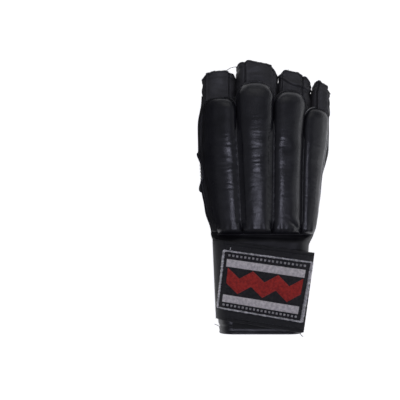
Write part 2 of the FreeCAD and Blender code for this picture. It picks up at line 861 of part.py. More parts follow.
pitch = dim("zigzag_pitch")
rise = dim("zigzag_rise")
upper = []
lower = []
for tooth in range(7):
    x = pitch * (tooth - 3)
    y = rise / 2 if tooth % 2 == 0 else -rise / 2
    upper.append((x, y + dim("zigzag_width") / 2))
    lower.append((x, y - dim("zigzag_width") / 2))
strap_layer("label_red_band", print_low, print_high, [lower + upper[::-1]], label_frame)

# ---------------------------------------------------------------- check and write

doc.recompute()

for item in doc.Objects:
    if "Invalid" in item.State or "Error" in item.State:
        raise RuntimeError(f"{item.Label} did not rebuild: {item.State}")

for item in parts:
    if item.Shape.isNull() or not item.Shape.isValid():
        raise RuntimeError(f"{item.Label} has no valid shape")

os.makedirs("parts", exist_ok=True)
for item in parts:
    item.Shape.exportStep(f"parts/{item.Label}.step")
    box = item.Shape.BoundBox
    print(f"{item.Label:26s} x {box.XMin:7.1f} {box.XMax:7.1f}  y {box.YMin:7.1f} {box.YMax:7.1f}  "
          f"z {box.ZMin:6.1f} {box.ZMax:6.1f}  volume {item.Shape.Volume:9.0f}")
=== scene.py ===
import math
import random

import bmesh
import bpy
import numpy as np
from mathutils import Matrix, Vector, noise


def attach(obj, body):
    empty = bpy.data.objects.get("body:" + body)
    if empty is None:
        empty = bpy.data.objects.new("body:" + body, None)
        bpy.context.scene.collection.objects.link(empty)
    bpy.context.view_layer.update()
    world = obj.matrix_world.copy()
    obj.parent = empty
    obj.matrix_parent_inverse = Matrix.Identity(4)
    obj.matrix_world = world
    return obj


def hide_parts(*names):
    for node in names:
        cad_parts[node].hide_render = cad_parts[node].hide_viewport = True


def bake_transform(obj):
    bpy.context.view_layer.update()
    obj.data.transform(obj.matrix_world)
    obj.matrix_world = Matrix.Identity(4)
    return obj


# Padded bag glove, right hand, palm down. Its lengths are millimetres in the row frame: +X to the
# little finger, +Y to the fingertips, +Z up. mesh_from() turns them into metres. The places and sizes
# of the lights and the camera are in metres.

MM = 0.001
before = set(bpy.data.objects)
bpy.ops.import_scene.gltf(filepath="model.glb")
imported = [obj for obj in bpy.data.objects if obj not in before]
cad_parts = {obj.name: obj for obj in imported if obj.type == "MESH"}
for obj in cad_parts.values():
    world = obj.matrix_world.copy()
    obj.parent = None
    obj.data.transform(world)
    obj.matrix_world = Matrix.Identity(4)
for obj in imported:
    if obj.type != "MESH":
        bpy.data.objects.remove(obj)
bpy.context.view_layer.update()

# ---------------------------------------------------------------- driving dimensions

ARCH_RADIUS = 110.0
CROWN_HEIGHT = 27.0
WRIST_LINE = -33.0
PITCH = math.radians(-3.2)
SEAT = 111.3  # distance from the arch's axis to the underside of the rolls

# edges of the four rolls across the back, as (distances along the glove, sideways places)
ROLL_EDGES = (
    ((-33, -30, -18, 13, 36, 90), (-38.8, -39.8, -44.9, -50.0, -52.4, -52.4)),
    ((-33, 20, 90), (-18.6, -20.9, -24.2)),
    ((-33, 15, 49, 66, 90), (6.2, 6.8, 7.3, 8.0, 8.6)),
    ((-33, -17, 27, 58, 90), (30.6, 31.1, 32.0, 33.4, 37.4)),
    ((-34, -29, -13, 13, 34, 50, 67, 90), (42.2, 44.6, 47.2, 48.8, 51.8, 54.8, 56.4, 56.6)),
)
# finger: (length of the roll, height at the wrist, height at the fingertip end)
ROLLS = {
    "index": (120.7, 11.0, 14.4),
    "middle": (134.2, 12.8, 14.4),
    "ring": (126.2, 12.4, 14.0),
    "little": (112.2, 8.4, 11.4),
}
ROLL_SAG = 0.0009  # how fast the rolls' line falls away past SAG_START
SAG_START = 75.0
# rounded fingertip end of each roll: its length over the half-width, and the power of its outline
ROLL_END = {"index": (0.8, 0.6), "middle": (1.0, 0.86), "ring": (1.0, 0.86), "little": (1.0, 0.86)}
# how far each roll's crest leans to the little finger, as a part of its half-width
LEAN = {"index": 0.14, "middle": 0.02, "ring": -0.15, "little": -0.24}
# outlines of the hand seen from above
THUMB_EDGE = ((-50, -30, -24, -13, -3, 6, 25, 41, 66, 71, 77, 88),
              (-44.0, -45.8, -47.5, -51.4, -52.8, -55.4, -56.6, -57.1, -57.1, -56.3, -54.2, -53.2))
LITTLE_EDGE = ((-50, -34, -24, -13, -3, 13, 24, 34, 45, 84),
               (40.5, 41.8, 45.4, 47.0, 48.0, 49.4, 51.4, 55.0, 57.1, 57.1))

# finger: left and right sides at the root, the same at the open end, root, length, height, sides' height
STALLS = {
    "index": ((-54.4, -24.2), (-54.0, -24.6), 88.0, 22.6, 15.0, 9.5),
    "middle": ((-24.3, 13.2), (-23.8, 10.6), 88.0, 32.0, 16.5, 10.5),
    "ring": ((13.2, 42.4), (13.9, 43.4), 86.0, 25.4, 14.5, 9.5),
    "little": ((42.2, 59.2), (45.6, 59.0), 80.5, 22.1, 13.0, 9.0),
}
# outline of each open end: places across the stall (-1 to 1) and how far each lies past the root
STALL_ENDS = {
    "index": ((-1, -0.93, -0.80, -0.28, 0.43, 0.54, 0.62, 0.90, 1),
              (15.0, 18.0, 20.8, 22.4, 22.8, 22.4, 20.8, 20.2, 16.0)),
    "middle": ((-1, -0.90, -0.66, -0.60, -0.52, 0.84, 0.90, 1),
               (26.4, 29.8, 30.4, 29.4, 32.2, 27.9, 21.5, 17.0)),
    "ring": ((-1, -0.72, 0.11, 0.38, 0.46, 0.54, 0.72, 0.88, 1),
             (20.5, 25.6, 23.2, 20.9, 19.0, 20.2, 18.6, 15.4, 10.0)),
    "little": ((-1, -0.93, -0.52, -0.18, 0.64, 0.72, 1),
               (14.5, 20.6, 22.1, 19.8, 17.6, 15.6, 11.0)),
}
# seams between the back of each stall and its side walls, as places across it
STALL_SEAMS = {
    "index": (-0.86, 0.60),
    "middle": (-0.59, 0.82),
    "ring": (-0.84, 0.45),
    "little": (-0.45, 0.80),
}
STALL_OVERLAP = 9.0  # how far a stall reaches back into the hand
RING_FOLD = (14.3, -0.435)  # slanting fold over the ring stall: how far past the root, and its slope

CUFF_FRONT = -38.5
CUFF_END = -120.0
CUFF_LEFT = (-43.2, -39.6)
CUFF_RIGHT = (39.6, 34.2)
CUFF_BOTTOM = 2.1
CUFF_TOP = 32.0
MOUTH_SLOPE = 0.36  # how far the cuff's mouth falls back for each millimetre below the top
SLIT = (5.0, 21.0, -60.0)  # opening under the cuff: left side, right side, front end
HAND_REAR, HAND_FRONT = -31.0, 88.0  # y of the hand's first and last sections

STRAP_TAPER = math.radians(2.53)
STRAP_ORIGIN = (-43.2, -38.5)
STRAP_UNDERSIDE = 34.0
STRAP_THICKNESS = 1.8
STRAP_WAVES = (18.0, 41)  # grain and seed of the strap's unevenness, which everything on it follows
STRAP_UNEVEN = 0.35
STRAP_TOP_EDGE = ((-45.8, -36.9), (43.7, -49.0))
STRAP_LOW_EDGE = ((-45.8, -106.2), (33.9, -118.6))

LABEL_CENTRE = (-0.6, -78.5)
LABEL_SIZE = (75.4, 52.3)
LABEL_TURN = math.radians(-9.2)
# how far each corner strays: lower left, lower right, upper left, upper right
LABEL_STRAY = ((-0.3, 1.2), (0.1, 0.4), (-3.0, 0.6), (1.4, 2.6))

# ---------------------------------------------------------------- number helpers


def ease(value):
    value = np.clip(value, 0.0, 1.0)
    return value * value * (3 - 2 * value)


def bell(value, width):
    return np.exp(-(value / width) ** 2)


def soft_line(at, line, reach=5.0):
    """Height of a line through stations, softened over a short reach."""
    stations, values = line
    steps = np.linspace(-reach, reach, 7)
    return np.mean([np.interp(np.asarray(at, float) + step, stations, values) for step in steps], axis=0)


def cloud(points, size, seed):
    """Smooth random field of a given grain over an array of points."""
    flat = np.asarray(points, float).reshape(-1, 3) / size
    values = [noise.noise(Vector((x + seed * 7.3, y - seed * 3.1, z + seed))) for x, y, z in flat]
    return np.array(values).reshape(np.asarray(points).shape[:-1])


def travelled(path):
    """Distance along a path from its first point to each of its points."""
    return np.concatenate([[0], np.cumsum(np.linalg.norm(np.diff(path, axis=0), axis=1))])


def points_at(path, at):
    """Points of a path at given distances along it."""
    steps = travelled(path)
    return np.stack([np.interp(at, steps, path[:, k]) for k in range(path.shape[1])], axis=-1)


def bezier(a, b, c, d, count):
    """Points on a cubic curve, its last point left out."""
    t = (np.arange(count) / count)[:, None]
    a, b, c, d = (np.array(p, float) for p in (a, b, c, d))
    return a * (1 - t) ** 3 + 3 * b * t * (1 - t) ** 2 + 3 * c * t * t * (1 - t) + d * t ** 3


def on_arch(angle, along, lift):
    """Point over the arched back: angle round it, distance from the wrist line, height above the lining."""
    sag = ROLL_SAG * np.maximum(along - SAG_START, 0.0) ** 2
    across = (SEAT + lift) * np.sin(angle)
    rise = (SEAT + lift) * np.cos(angle) - ARCH_RADIUS - sag
    y = along * math.cos(PITCH) - rise * math.sin(PITCH) + WRIST_LINE
    z = along * math.sin(PITCH) + rise * math.cos(PITCH) + CROWN_HEIGHT
    return np.stack(np.broadcast_arrays(across, y, z), axis=-1)


# ---------------------------------------------------------------- mesh helpers


def mesh_from(name, points, faces, material):
    data = bpy.data.meshes.new(name)
    data.from_pydata((np.asarray(points, float).reshape(-1, 3) * MM).tolist(), [], faces)
    data.validate()
    data.polygons.foreach_set("use_smooth", [True] * len(data.polygons))
    piece = bpy.data.objects.new(name, data)
    bpy.context.collection.objects.link(piece)
    for one in material if isinstance(material, (list, tuple)) else [material]:
        data.materials.append(one)
    return piece


def tidy_normals(piece):
    shape = bmesh.new()
    shape.from_mesh(piece.data)
    bmesh.ops.remove_doubles(shape, verts=shape.verts, dist=1e-6)
    bmesh.ops.recalc_face_normals(shape, faces=shape.faces)
    shape.to_mesh(piece.data)
    shape.free()
    return piece


def grid(name, rows, material, around=False, ends=(False, False), skip=None):
    """Surface through rows of points; around joins each row into a loop, ends closes the first and last."""
    rows = np.asarray(rows, float)
    count, width = rows.shape[:2]
    faces = []
    for i in range(count - 1):
        for j in range(width if around else width - 1):
            k = (j + 1) % width
            if skip is not None and skip[i, j]:
                continue
            faces.append((i * width + j, i * width + k, (i + 1) * width + k, (i + 1) * width + j))
    if ends[0]:
        faces.append(tuple(range(width - 1, -1, -1)))
    if ends[1]:
        faces.append(tuple((count - 1) * width + j for j in range(width)))
    piece = tidy_normals(mesh_from(name, rows, faces, material))
    if around:
        face_outwards(piece)
    return piece


def face_outwards(piece):
    """Turn a loft's faces away from the middle of the loft, if they all point inwards."""
    shape = bmesh.new()
    shape.from_mesh(piece.data)
    middle = sum((v.co for v in shape.verts), Vector()) / len(shape.verts)
    lean = 0.0
    for face in shape.faces:
        away = face.calc_center_median() - middle
        lean += face.calc_area() * (away.x * face.normal.x + away.z * face.normal.z)
    if lean < 0:
        bmesh.ops.reverse_faces(shape, faces=shape.faces)
        shape.to_mesh(piece.data)
    shape.free()


def apply_modifiers(piece):
    bpy.context.view_layer.update()
    evaluated = piece.evaluated_get(bpy.context.evaluated_depsgraph_get())
    data = bpy.data.meshes.new_from_object(evaluated)
    piece.modifiers.clear()
    piece.data = data
    return piece


def thicken(piece, thickness, offset=-1.0, inner=0, rim=0, smoothing=0):
    """Give a surface a wall, with its own materials inside and on the rim."""
    wall = piece.modifiers.new("wall", "SOLIDIFY")
    wall.thickness = thickness * MM
    wall.offset = offset
    wall.material_offset = inner
    wall.material_offset_rim = rim
    if smoothing:
        soft = piece.modifiers.new("soft", "SUBSURF")
        soft.levels = smoothing
        soft.render_levels = smoothing
    return apply_modifiers(piece)


def tube(name, path, radius, material, sides=8, closed=False):
    """Round cord along a path; radius is one number or one for each point."""
    path = np.asarray(path, float)
    if closed:
        ahead, behind = np.roll(path, -1, axis=0), np.roll(path, 1, axis=0)
    else:
        ahead = np.vstack([path[1:], path[-1:]])
        behind = np.vstack([path[:1], path[:-1]])
    tangent = ahead - behind
    tangent /= np.linalg.norm(tangent, axis=1)[:, None] + 1e-9
    side = np.zeros_like(tangent)
    side[0] = np.cross(tangent[0], (0.3, 0.2, 1.0))
    for i in range(1, len(path)):
        side[i] = side[i - 1] - tangent[i] * np.dot(side[i - 1], tangent[i])
        side[i] /= np.linalg.norm(side[i]) + 1e-9
    side[0] /= np.linalg.norm(side[0])
    up = np.cross(tangent, side)
    radii = np.broadcast_to(radius, (len(path),))
    turn = np.linspace(0, 2 * math.pi, sides, endpoint=False)
    ring = side[:, None] * np.cos(turn)[None, :, None] + up[:, None] * np.sin(turn)[None, :, None]
    rows = path[:, None] + ring * radii[:, None, None]
    if closed:
        rows = np.concatenate([rows, rows[:1]])
    return grid(name, rows, material, around=True, ends=(not closed, not closed))


def spaced(path, pitch):
    """The path's points, evenly spaced."""
    path = np.asarray(path, float)
    whole = travelled(path)[-1]
    count = max(2, int(round(whole / pitch)) + 1)
    return points_at(path, np.linspace(0, whole, count))


def join(name, pieces):
    """Several meshes as one piece."""
    shape = bmesh.new()
    for piece in pieces:
        shape.from_mesh(piece.data)
    data = bpy.data.meshes.new(name)
    shape.to_mesh(data)
    shape.free()
    for one in pieces[0].data.materials:
        data.materials.append(one)
    for piece in pieces:
        bpy.data.objects.remove(piece)
    whole = bpy.data.objects.new(name, data)
    bpy.context.collection.objects.link(whole)
    return whole


def declare(piece, slot, body, *nodes):
    """Hang a piece on the body it rides on and hide the CAD nodes that it stands for; the piece's finish
    (slot) is not used.
    """
    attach(piece, body)
    if nodes:
        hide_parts(*nodes)


HUMP = np.array([-0.9, 0.6, 1.0, 0.6, -0.9])[:, None]  # how a stitch stands along its length


def stitches(name, path, body, pitch=3.0, length=2.0, radius=0.22, lift=(0, 0, 0.1)):
    """Row of sewn stitches along a path: each a short thread, proud in the middle and sunk at its ends."""
    line = spaced(path, 0.5)
    whole = travelled(line)[-1]
    made = []
    start = pitch / 2
    while start + length < whole:
        points = points_at(line, np.linspace(start, start + length, len(HUMP)))
        made.append(tube("stitch", points + np.array(lift, float) * HUMP, radius, black_thread, sides=5))
        start += pitch
    declare(join(name, made), "thread", body)


# ---------------------------------------------------------------- materials


FIELD = (0.35, 0.65)  # where the values of a soft noise mostly lie


class Recipe:
    """Small helper for building one material's nodes."""

    def __init__(self, name):
        self.material = bpy.data.materials.new(name)
        self.material.use_nodes = True
        self.tree = self.material.node_tree
        self.shader = self.tree.nodes["Principled BSDF"]
        self.place = self.add("ShaderNodeTexCoord").outputs["Object"]
        self.normal = None

    def add(self, kind, **values):
        node = self.tree.nodes.new(kind)
        for key, value in values.items():
            if key in node.inputs:
                node.inputs[key].default_value = value
            else:
                setattr(node, key, value)
        return node

    def link(self, source, target):
        self.tree.links.new(source, target)

    def set(self, key, value):
        self.shader.inputs[key].default_value = value

    def texture(self, kind, output, **values):
        node = self.add(kind, **values)
        self.link(self.place, node.inputs["Vector"])
        return node.outputs[output]

    def clouds(self, size, detail=3.0, roughness=0.55, distortion=0.0):
        return self.texture("ShaderNodeTexNoise", "Fac", Scale=1000.0 / size, Detail=detail,
                            Roughness=roughness, Distortion=distortion)

    def cells(self, size, feature="F1"):
        return self.texture("ShaderNodeTexVoronoi", "Distance", Scale=1000.0 / size, feature=feature)

    def bands(self, size, direction):
        """Ripples, about 0.63 of the size apart."""
        return self.texture("ShaderNodeTexWave", "Fac", Scale=500.0 / size, Distortion=0.3,
                            bands_direction=direction)

    def spread(self, value, low, high):
        node = self.add("ShaderNodeMapRange")
        for key, number in zip(("From Min", "From Max", "To Min", "To Max"), (*FIELD, low, high)):
            node.inputs[key].default_value = number
        self.link(value, node.inputs["Value"])
        return node.outputs["Result"]

    def two_colours(self, value, *colours):
        node = self.add("ShaderNodeValToRGB")
        for stop, position, colour in zip(node.color_ramp.elements, FIELD, colours):
            stop.position = position
            stop.color = (*colour, 1)
        self.link(value, node.inputs["Fac"])
        return node.outputs["Color"]

    def bump(self, value, depth):
        node = self.add("ShaderNodeBump", Strength=1.0, Distance=depth * MM)
        self.link(value, node.inputs["Height"])
        if self.normal is not None:
            self.link(self.normal, node.inputs["Normal"])
        self.normal = node.outputs["Normal"]

    def done(self):
        if self.normal is not None:
            self.link(self.normal, self.shader.inputs["Normal"])
        return self.material


def leather(name, dark, light, gloss, grain=0.05, creases=0.10, grain_size=0.9, shine=0.5, index=1.5):
    recipe = Recipe(name)
    recipe.set("IOR", index)
    recipe.set("Specular IOR Level", shine)
    shade = recipe.two_colours(recipe.clouds(14.0, 5.0), dark, light)
    recipe.link(shade, recipe.shader.inputs["Base Color"])
    recipe.link(recipe.spread(recipe.clouds(9.0, 4.0), gloss - 0.05, gloss + 0.09),
                recipe.shader.inputs["Roughness"])
    recipe.bump(recipe.clouds(5.5, 5.0, 0.6, distortion=0.6), creases)
    recipe.bump(recipe.cells(grain_size, "SMOOTH_F1"), grain)
    recipe.bump(recipe.clouds(0.5, 2.0), grain * 0.4)
    return recipe.done()


def cloth(name, dark, light, thread=0.55, depth=0.09, sheen=0.15, rough=0.85, rib=False):
    recipe = Recipe(name)
    shade = recipe.two_colours(recipe.clouds(2.4, 4.0), dark, light)
    recipe.link(shade, recipe.shader.inputs["Base Color"])
    recipe.set("Roughness", rough)
    recipe.set("Sheen Weight", sheen)
    recipe.set("Sheen Roughness", 0.4)
    for direction in "X" if rib else "XY":
        recipe.bump(recipe.bands(thread, direction), depth)
    recipe.bump(recipe.clouds(0.7, 3.0), depth * 0.5)
    return recipe.done()


def loops(name, colour, size, depth):
    recipe = Recipe(name)
    dark = tuple(c * 0.5 for c in colour)
    recipe.link(recipe.two_colours(recipe.cells(size), colour, dark), recipe.shader.inputs["Base Color"])
    recipe.set("Roughness", 0.8)
    recipe.set("Sheen Weight", 0.2)
    recipe.bump(recipe.cells(size), depth)
    recipe.bump(recipe.clouds(size * 1.6, 3.0), depth)
    return recipe.done()


pad_leather = leather("pad_leather", (0.0095, 0.0095, 0.0125), (0.015, 0.015, 0.019), 0.33)
cuff_leather = leather("cuff_leather", (0.0095, 0.0095, 0.012), (0.014, 0.014, 0.017), 0.42)
# matte leather of the finger stalls; its lighter base colour is partly the stalls' own tone and partly
# painted light, the light falling on the up-tilted finger end
stall_leather = leather("stall_leather", (0.022, 0.0215, 0.023), (0.038, 0.037, 0.039), 0.55, 0.06, 0.16)
palm_leather = leather("palm_leather", (0.013, 0.013, 0.0145), (0.021, 0.0205, 0.022), 0.55, 0.07, 0.16,
                       1.2)
edge_leather = leather("edge_leather", (0.012, 0.012, 0.015), (0.026, 0.026, 0.030), 0.36, 0.03, 0.05, 0.6)
# lighter, glossier leather for the little roll's outer piping: its light base colour is a painted
# highlight, the bright rim light along that edge
painted_highlight_leather = leather("painted_highlight_leather", (0.045, 0.045, 0.05), (0.12, 0.12, 0.125), 0.24, 0.03, 0.05, 0.6,
                       shine=1.0, index=2.0)
# lighter leather for the channel seams: a painted highlight that lightens the shaded grooves between the
# rolls
seam_leather = leather("seam_leather", (0.020, 0.020, 0.022), (0.040, 0.040, 0.043), 0.42, 0.03, 0.05, 0.6)
hem_leather = leather("hem_leather", (0.022, 0.0215, 0.023), (0.042, 0.041, 0.043), 0.55, 0.05, 0.08, 0.6)
tape_cloth = cloth("tape_cloth", (0.007, 0.007, 0.009), (0.013, 0.013, 0.015), 0.5, 0.05, 0.03, 0.75)
# darker copy of the back's leather for the wrist strip: painted shade between the rolls and the strap, with
# lower shine
painted_shade_wrist_leather = leather("painted_shade_wrist_leather", (0.006, 0.006, 0.0075), (0.010, 0.010, 0.0115), 0.50, shine=0.3)
lining_cloth = cloth("lining_cloth", (0.016, 0.016, 0.018), (0.032, 0.032, 0.035), 0.8, 0.12)
strap_cloth = cloth("strap_cloth", (0.008, 0.008, 0.010), (0.014, 0.014, 0.016), 0.6, 0.06, 0.05, 0.62)
gore_cloth = cloth("gore_cloth", (0.010, 0.010, 0.011), (0.020, 0.020, 0.022), 1.6, 0.30, rib=True)
black_thread = cloth("black_thread", (0.02, 0.02, 0.022), (0.05, 0.05, 0.055), 0.3, 0.03)
hook_field = loops("hook_field", (0.020, 0.020, 0.021), 0.9, 0.35)
loop_field = loops("loop_field", (0.014, 0.014, 0.015), 0.5, 0.20)
label_ground = cloth("label_ground", (0.010, 0.010, 0.012), (0.028, 0.026, 0.028), 0.42, 0.05)
label_grey = cloth("label_grey", (0.66, 0.615, 0.605), (1.0, 0.935, 0.92), 0.42, 0.07)
label_red = cloth("label_red", (0.38, 0.018, 0.016), (0.65, 0.040, 0.029), 0.42, 0.08)
dash_yarn = cloth("dash_yarn", (0.26, 0.25, 0.26), (0.60, 0.58, 0.59), 0.35, 0.05)
border_yarn = cloth("border_yarn", (0.42, 0.41, 0.42), (1.0, 0.98, 0.99), 0.35, 0.04)

# ---------------------------------------------------------------- padded rolls

# slanting fold over the ring and little rolls
FOLD = ((16.9, -17.5), (27.0, -25.4), (33.4, -33.3), (40.0, -38.0))


def line_distance(points, corners):
    """Distance in plan from each point to a bent line."""
    best = np.full(points.shape[:-1], 1e9)
    for start, end in zip(corners, corners[1:]):
        start, end = np.array(start), np.array(end)
        run = end - start
        t = np.clip(((points[..., :2] - start) @ run) / run.dot(run), 0, 1)
        near = start + t[..., None] * run
        best = np.minimum(best, np.linalg.norm(points[..., :2] - near, axis=-1))
    return best


def roll_centre(order, along):
    """Middle and half-width of a roll round the arch at a distance from the wrist line."""
    left = np.arcsin(soft_line(along + WRIST_LINE, ROLL_EDGES[order]) / SEAT)
    right = np.arcsin(soft_line(along + WRIST_LINE, ROLL_EDGES[order + 1]) / SEAT)
    return (left + right) / 2, (right - left) / 2 - 0.1 / SEAT


def creases(along, turn, length, seed):
    """Flex creases across a roll: shallow valleys with soft lips, thickest where the knuckles bend."""
    chance = random.Random(seed)
    depth = np.zeros(np.broadcast(along, turn).shape)
    for _ in range(38):
        at = chance.triangular(10, length - 22, length * 0.5)
        side = math.radians(chance.gauss(90, 16))
        reach = math.radians(chance.uniform(9, 24))
        deep = chance.uniform(0.05, 0.21)
        width = chance.uniform(0.5, 1.1)
        slope = chance.uniform(-4, 4)
        offset = along - at - slope * (turn - side)
        window = bell(turn - side, reach)
        depth += window * deep * (-bell(offset, width) + 0.45 * bell(offset - 2.1 * width, 1.7 * width)
                                  + 0.45 * bell(offset + 2.1 * width, 1.7 * width))
    for _ in range(4):
        at = chance.uniform(length * 0.45, length * 0.75)
        side = math.radians(chance.gauss(90, 20))
        depth -= 0.45 * bell(along - at, chance.uniform(3, 5)) * bell(turn - side, math.radians(34))
    return depth


ROLL_TURN = (-16.4, 196.4)  # degrees round a roll at which its leather meets the lining
PUCKER_PITCH = 5.2
GATHER_PITCH = 4.6


def tip_length(order, finger):
    """How long the rounded fingertip end of a roll is."""
    _, half = roll_centre(order, np.array([ROLLS[finger][0] - 14.0]))
    return float(half[0]) * SEAT * ROLL_END[finger][0]


def make_roll(order, finger):
    length, wrist_height, tip_height = ROLLS[finger]
    tip_run = tip_length(order, finger)
    body = np.concatenate([np.arange(0.0, 4.8, 0.4), np.arange(4.8, length - tip_run, 0.8)])
    cap = np.radians(np.linspace(0, 87, 26))
    along = np.concatenate([body, length - tip_run + tip_run * np.sin(cap)])
    narrow = np.concatenate([np.ones_like(body), np.cos(cap) ** ROLL_END[finger][1]])
    turn = np.radians(np.linspace(*ROLL_TURN, 60))
    centre, half = roll_centre(order, along)
    wrist_rise = 0.22 + 0.78 * np.sqrt(1 - (1 - np.clip(along / 5.0, 0, 1)) ** 2)
    height = (wrist_height + (tip_height - wrist_height) * along / length) * wrist_rise
    flat_tip = 1.0 - 0.16 * ease((along - length * 0.62) / (length * 0.3))
    height = height * narrow ** 0.8 * flat_tip

    a, h, w, c = (value[:, None] for value in (along, height, half * narrow, centre))
    phi = turn[None, :]
    full = np.sign(np.cos(phi)) * np.abs(np.cos(phi)) ** 0.78
    angle = c + w * (full + LEAN[finger] * np.sin(phi))
    lift = h * (0.22 + 0.78 * np.sign(np.sin(phi)) * np.abs(np.sin(phi)) ** 0.92)
    points = on_arch(angle, a, lift)

    swell = creases(a, phi, length, 11 + order)
    swell = swell + 0.45 * cloud(points * (1, 0.6, 1), 14.0, order) * np.sin(phi)
    fine = bell(a - 26.0, 16.0) * np.sin(phi) ** 2
    swell = swell + 0.10 * cloud(points * (0.55, 1, 0.55), 1.9, 50 + order) * fine
    seam = bell(phi - turn[0], 0.30) + bell(phi - turn[-1], 0.30)
    uneven = (0.26 if finger != "little" else 0.12) * (0.6 + 1.2 * cloud(points, 16.0, 70 + order))
    puckers = np.sin(a * 2 * math.pi / PUCKER_PITCH + 4.0 * cloud(points, 20.0, 5 + order))
    swell = swell + uneven * seam * puckers
    gathers = np.sin(angle * SEAT * 2 * math.pi / GATHER_PITCH + order) * bell(a - 4.0, 5.0)
    swell = swell + 0.2 * gathers * np.sin(phi)
    if finger in ("ring", "little"):
        away = line_distance(points, FOLD)
        start = ease((points[..., 0] - FOLD[0][0] - 1.0) / 9.0)
        swell = swell - start * ease(a / 7.0) * (1.2 * bell(away, 1.3) - 0.5 * bell(away - 4.0, 2.4))
    swell = swell * narrow[:, None] ** 0.5
    angle = angle + swell * np.cos(phi) / SEAT
    lift = lift + swell * np.sin(phi)
    top = on_arch(angle, a, lift)

    under = np.linspace(1, -1, 9)[None, 1:-1] * math.cos(turn[0])
    below = on_arch(c - w * under, a, -0.15)
    rows = np.concatenate([top, below], axis=1)
    roll = grid(f"{finger}_roll", rows, pad_leather, around=True, ends=(True, True))
    declare(roll, "leather", "hand", f"{finger}_foam_roll", f"{finger}_pad_cover")


def make_piping(order, finger):
    """Raised seam that runs up one side of a roll, round its fingertip end and down the other."""
    length = ROLLS[finger][0]
    tip_run = tip_length(order, finger)
    sweep = np.radians(np.linspace(90, -90, 40))
    rim_along = length - tip_run + (tip_run + 0.7) * np.cos(sweep)
    rim_centre, rim_half = roll_centre(order, np.minimum(rim_along, length))
    wide = np.sign(np.sin(sweep)) * np.abs(np.sin(sweep)) ** ROLL_END[finger][1]
    rim = on_arch(rim_centre - rim_half * wide * 1.03, rim_along, 0.5)
    side_along = np.linspace(length * 0.58, length - tip_run - 1, 24)
    side_centre, side_half = roll_centre(order, side_along)
    left = on_arch(side_centre - side_half, side_along, 0.6)
    raised = 0.0
    cover = edge_leather
    if finger == "little":
        side_along = np.linspace(9.0, length - tip_run - 1, 60)
        side_centre, side_half = roll_centre(order, side_along)
        raised = (1 - ease((side_along - side_along[-1] + 16.0) / 16.0)) * ease((side_along - 12.0) / 30.0)
        side_half = side_half + (0.9 * raised - 0.3) / SEAT
        # lighter leather along the little roll's outer piping: a painted highlight on that edge
        cover = painted_highlight_leather
    right = on_arch(side_centre + side_half, side_along, 0.6 + 1.8 * raised)
    cord = tube(f"{finger}_roll_piping", np.vstack([left, rim, right[::-1]]), 0.75, cover)
    declare(cord, "binding", "hand")


for order, finger in enumerate(ROLLS):
    make_roll(order, finger)
    make_piping(order, finger)

# channels between two rolls, by the roll that follows: how high the leather is drawn, and where it ends
GROOVES = {1: (8.4, 103.0), 2: (8.4, 103.0), 3: (5.4, 95.0)}


def groove_rise(along, last, height):
    """Height of the channel between two rolls: low at the wrist, high along the back, low at the web."""
    return 0.8 + height * ease(along / 12.0) * (1 - 0.75 * ease((along - last + 16.0) / 16.0))


def groove_path(order, offset, lift):
    height, last = GROOVES[order]
    along = np.linspace(1.0, last, 96)
    place = np.arcsin((soft_line(along + WRIST_LINE, ROLL_EDGES[order]) + offset) / SEAT)
    wave = 0.15 * np.sin(along * 0.9 + order)
    return on_arch(place, along, groove_rise(along, last, height) + wave + lift)


def groove_web(order):
    """Leather drawn down between two rolls to the seam."""
    shape = ((-4.0, 2.2), (-2.4, 1.1), (-1.0, 0.3), (0, 0), (1.0, 0.3), (2.4, 1.1), (4.0, 2.2))
    rows = [groove_path(order, offset, lift) for offset, lift in shape]
    return grid("groove_web", np.array(rows), pad_leather)


webs = join("channel_webs", [groove_web(order) for order in GROOVES])
declare(webs, "leather", "hand")
# seam cords in the lighter leather: painted highlight in the shaded grooves
cords = [tube("cord", groove_path(order, 0.0, 0.45), 0.62, seam_leather) for order in GROOVES]
cords = join("channel_seams", cords)
declare(cords, "thread", "hand", "channel_seam_cords")

# ---------------------------------------------------------------- sections of hand and cuff

BOTTOM, SIDE, TOP = 34, 18, 26  # points along each stretch of a section


def section(left, right, foot, left_top, right_top, crown, breaks=None):
    """Closed loop (x, z): along the bottom to the left, up that side, over the top, down the right side."""
    corner = min(8.0, (right - left) * 0.1)
    stops = [right - corner] + list(breaks or []) + [left + corner]
    shares = BOTTOM // (len(stops) - 1)
    counts = [shares] * (len(stops) - 1)
    counts[-1] += BOTTOM - sum(counts)
    spans = zip(stops, stops[1:], counts)
    bottom = np.concatenate([np.linspace(a, b, n, endpoint=False) for a, b, n in spans])
    bottom = np.stack([bottom, np.full_like(bottom, foot)], axis=-1)
    pull = corner * 0.55
    up = bezier((left + corner, foot), (left - pull, foot), (left - pull * 0.75, left_top[1] * 0.92),
                left_top, SIDE)
    x = np.linspace(left_top[0], right_top[0], TOP, endpoint=False)
    over = np.stack([x, crown(x)], axis=-1)
    down = bezier(right_top, (right + pull * 0.75, right_top[1] * 0.92), (right + pull, foot),
                  (right - corner, foot), SIDE)
    return np.concatenate([bottom, up, over, down])


def arch_level(x, y, lift):
    """Height of the arched back over a point in plan."""
    along = y - WRIST_LINE
    rise = np.sqrt((SEAT + lift) ** 2 - np.asarray(x) ** 2) - ARCH_RADIUS
    rise = rise - ROLL_SAG * max(along - SAG_START, 0.0) ** 2
    return along * math.sin(PITCH) + rise * math.cos(PITCH) + CROWN_HEIGHT


def hand_section(y):
    left = float(soft_line(y, THUMB_EDGE))
    right = float(soft_line(y, LITTLE_EDGE))
    inner_left = float(soft_line(y, ROLL_EDGES[0])) + 1.2
    inner_right = min(float(soft_line(y, ROLL_EDGES[4])) - 1.2, right - 0.6)
    left_top = (inner_left, float(arch_level(inner_left, y, -0.4)))
    right_top = (inner_right, float(arch_level(inner_right, y, -0.4)))
    return section(left, right, 0.3, left_top, right_top, lambda x: arch_level(x, y, -0.5))


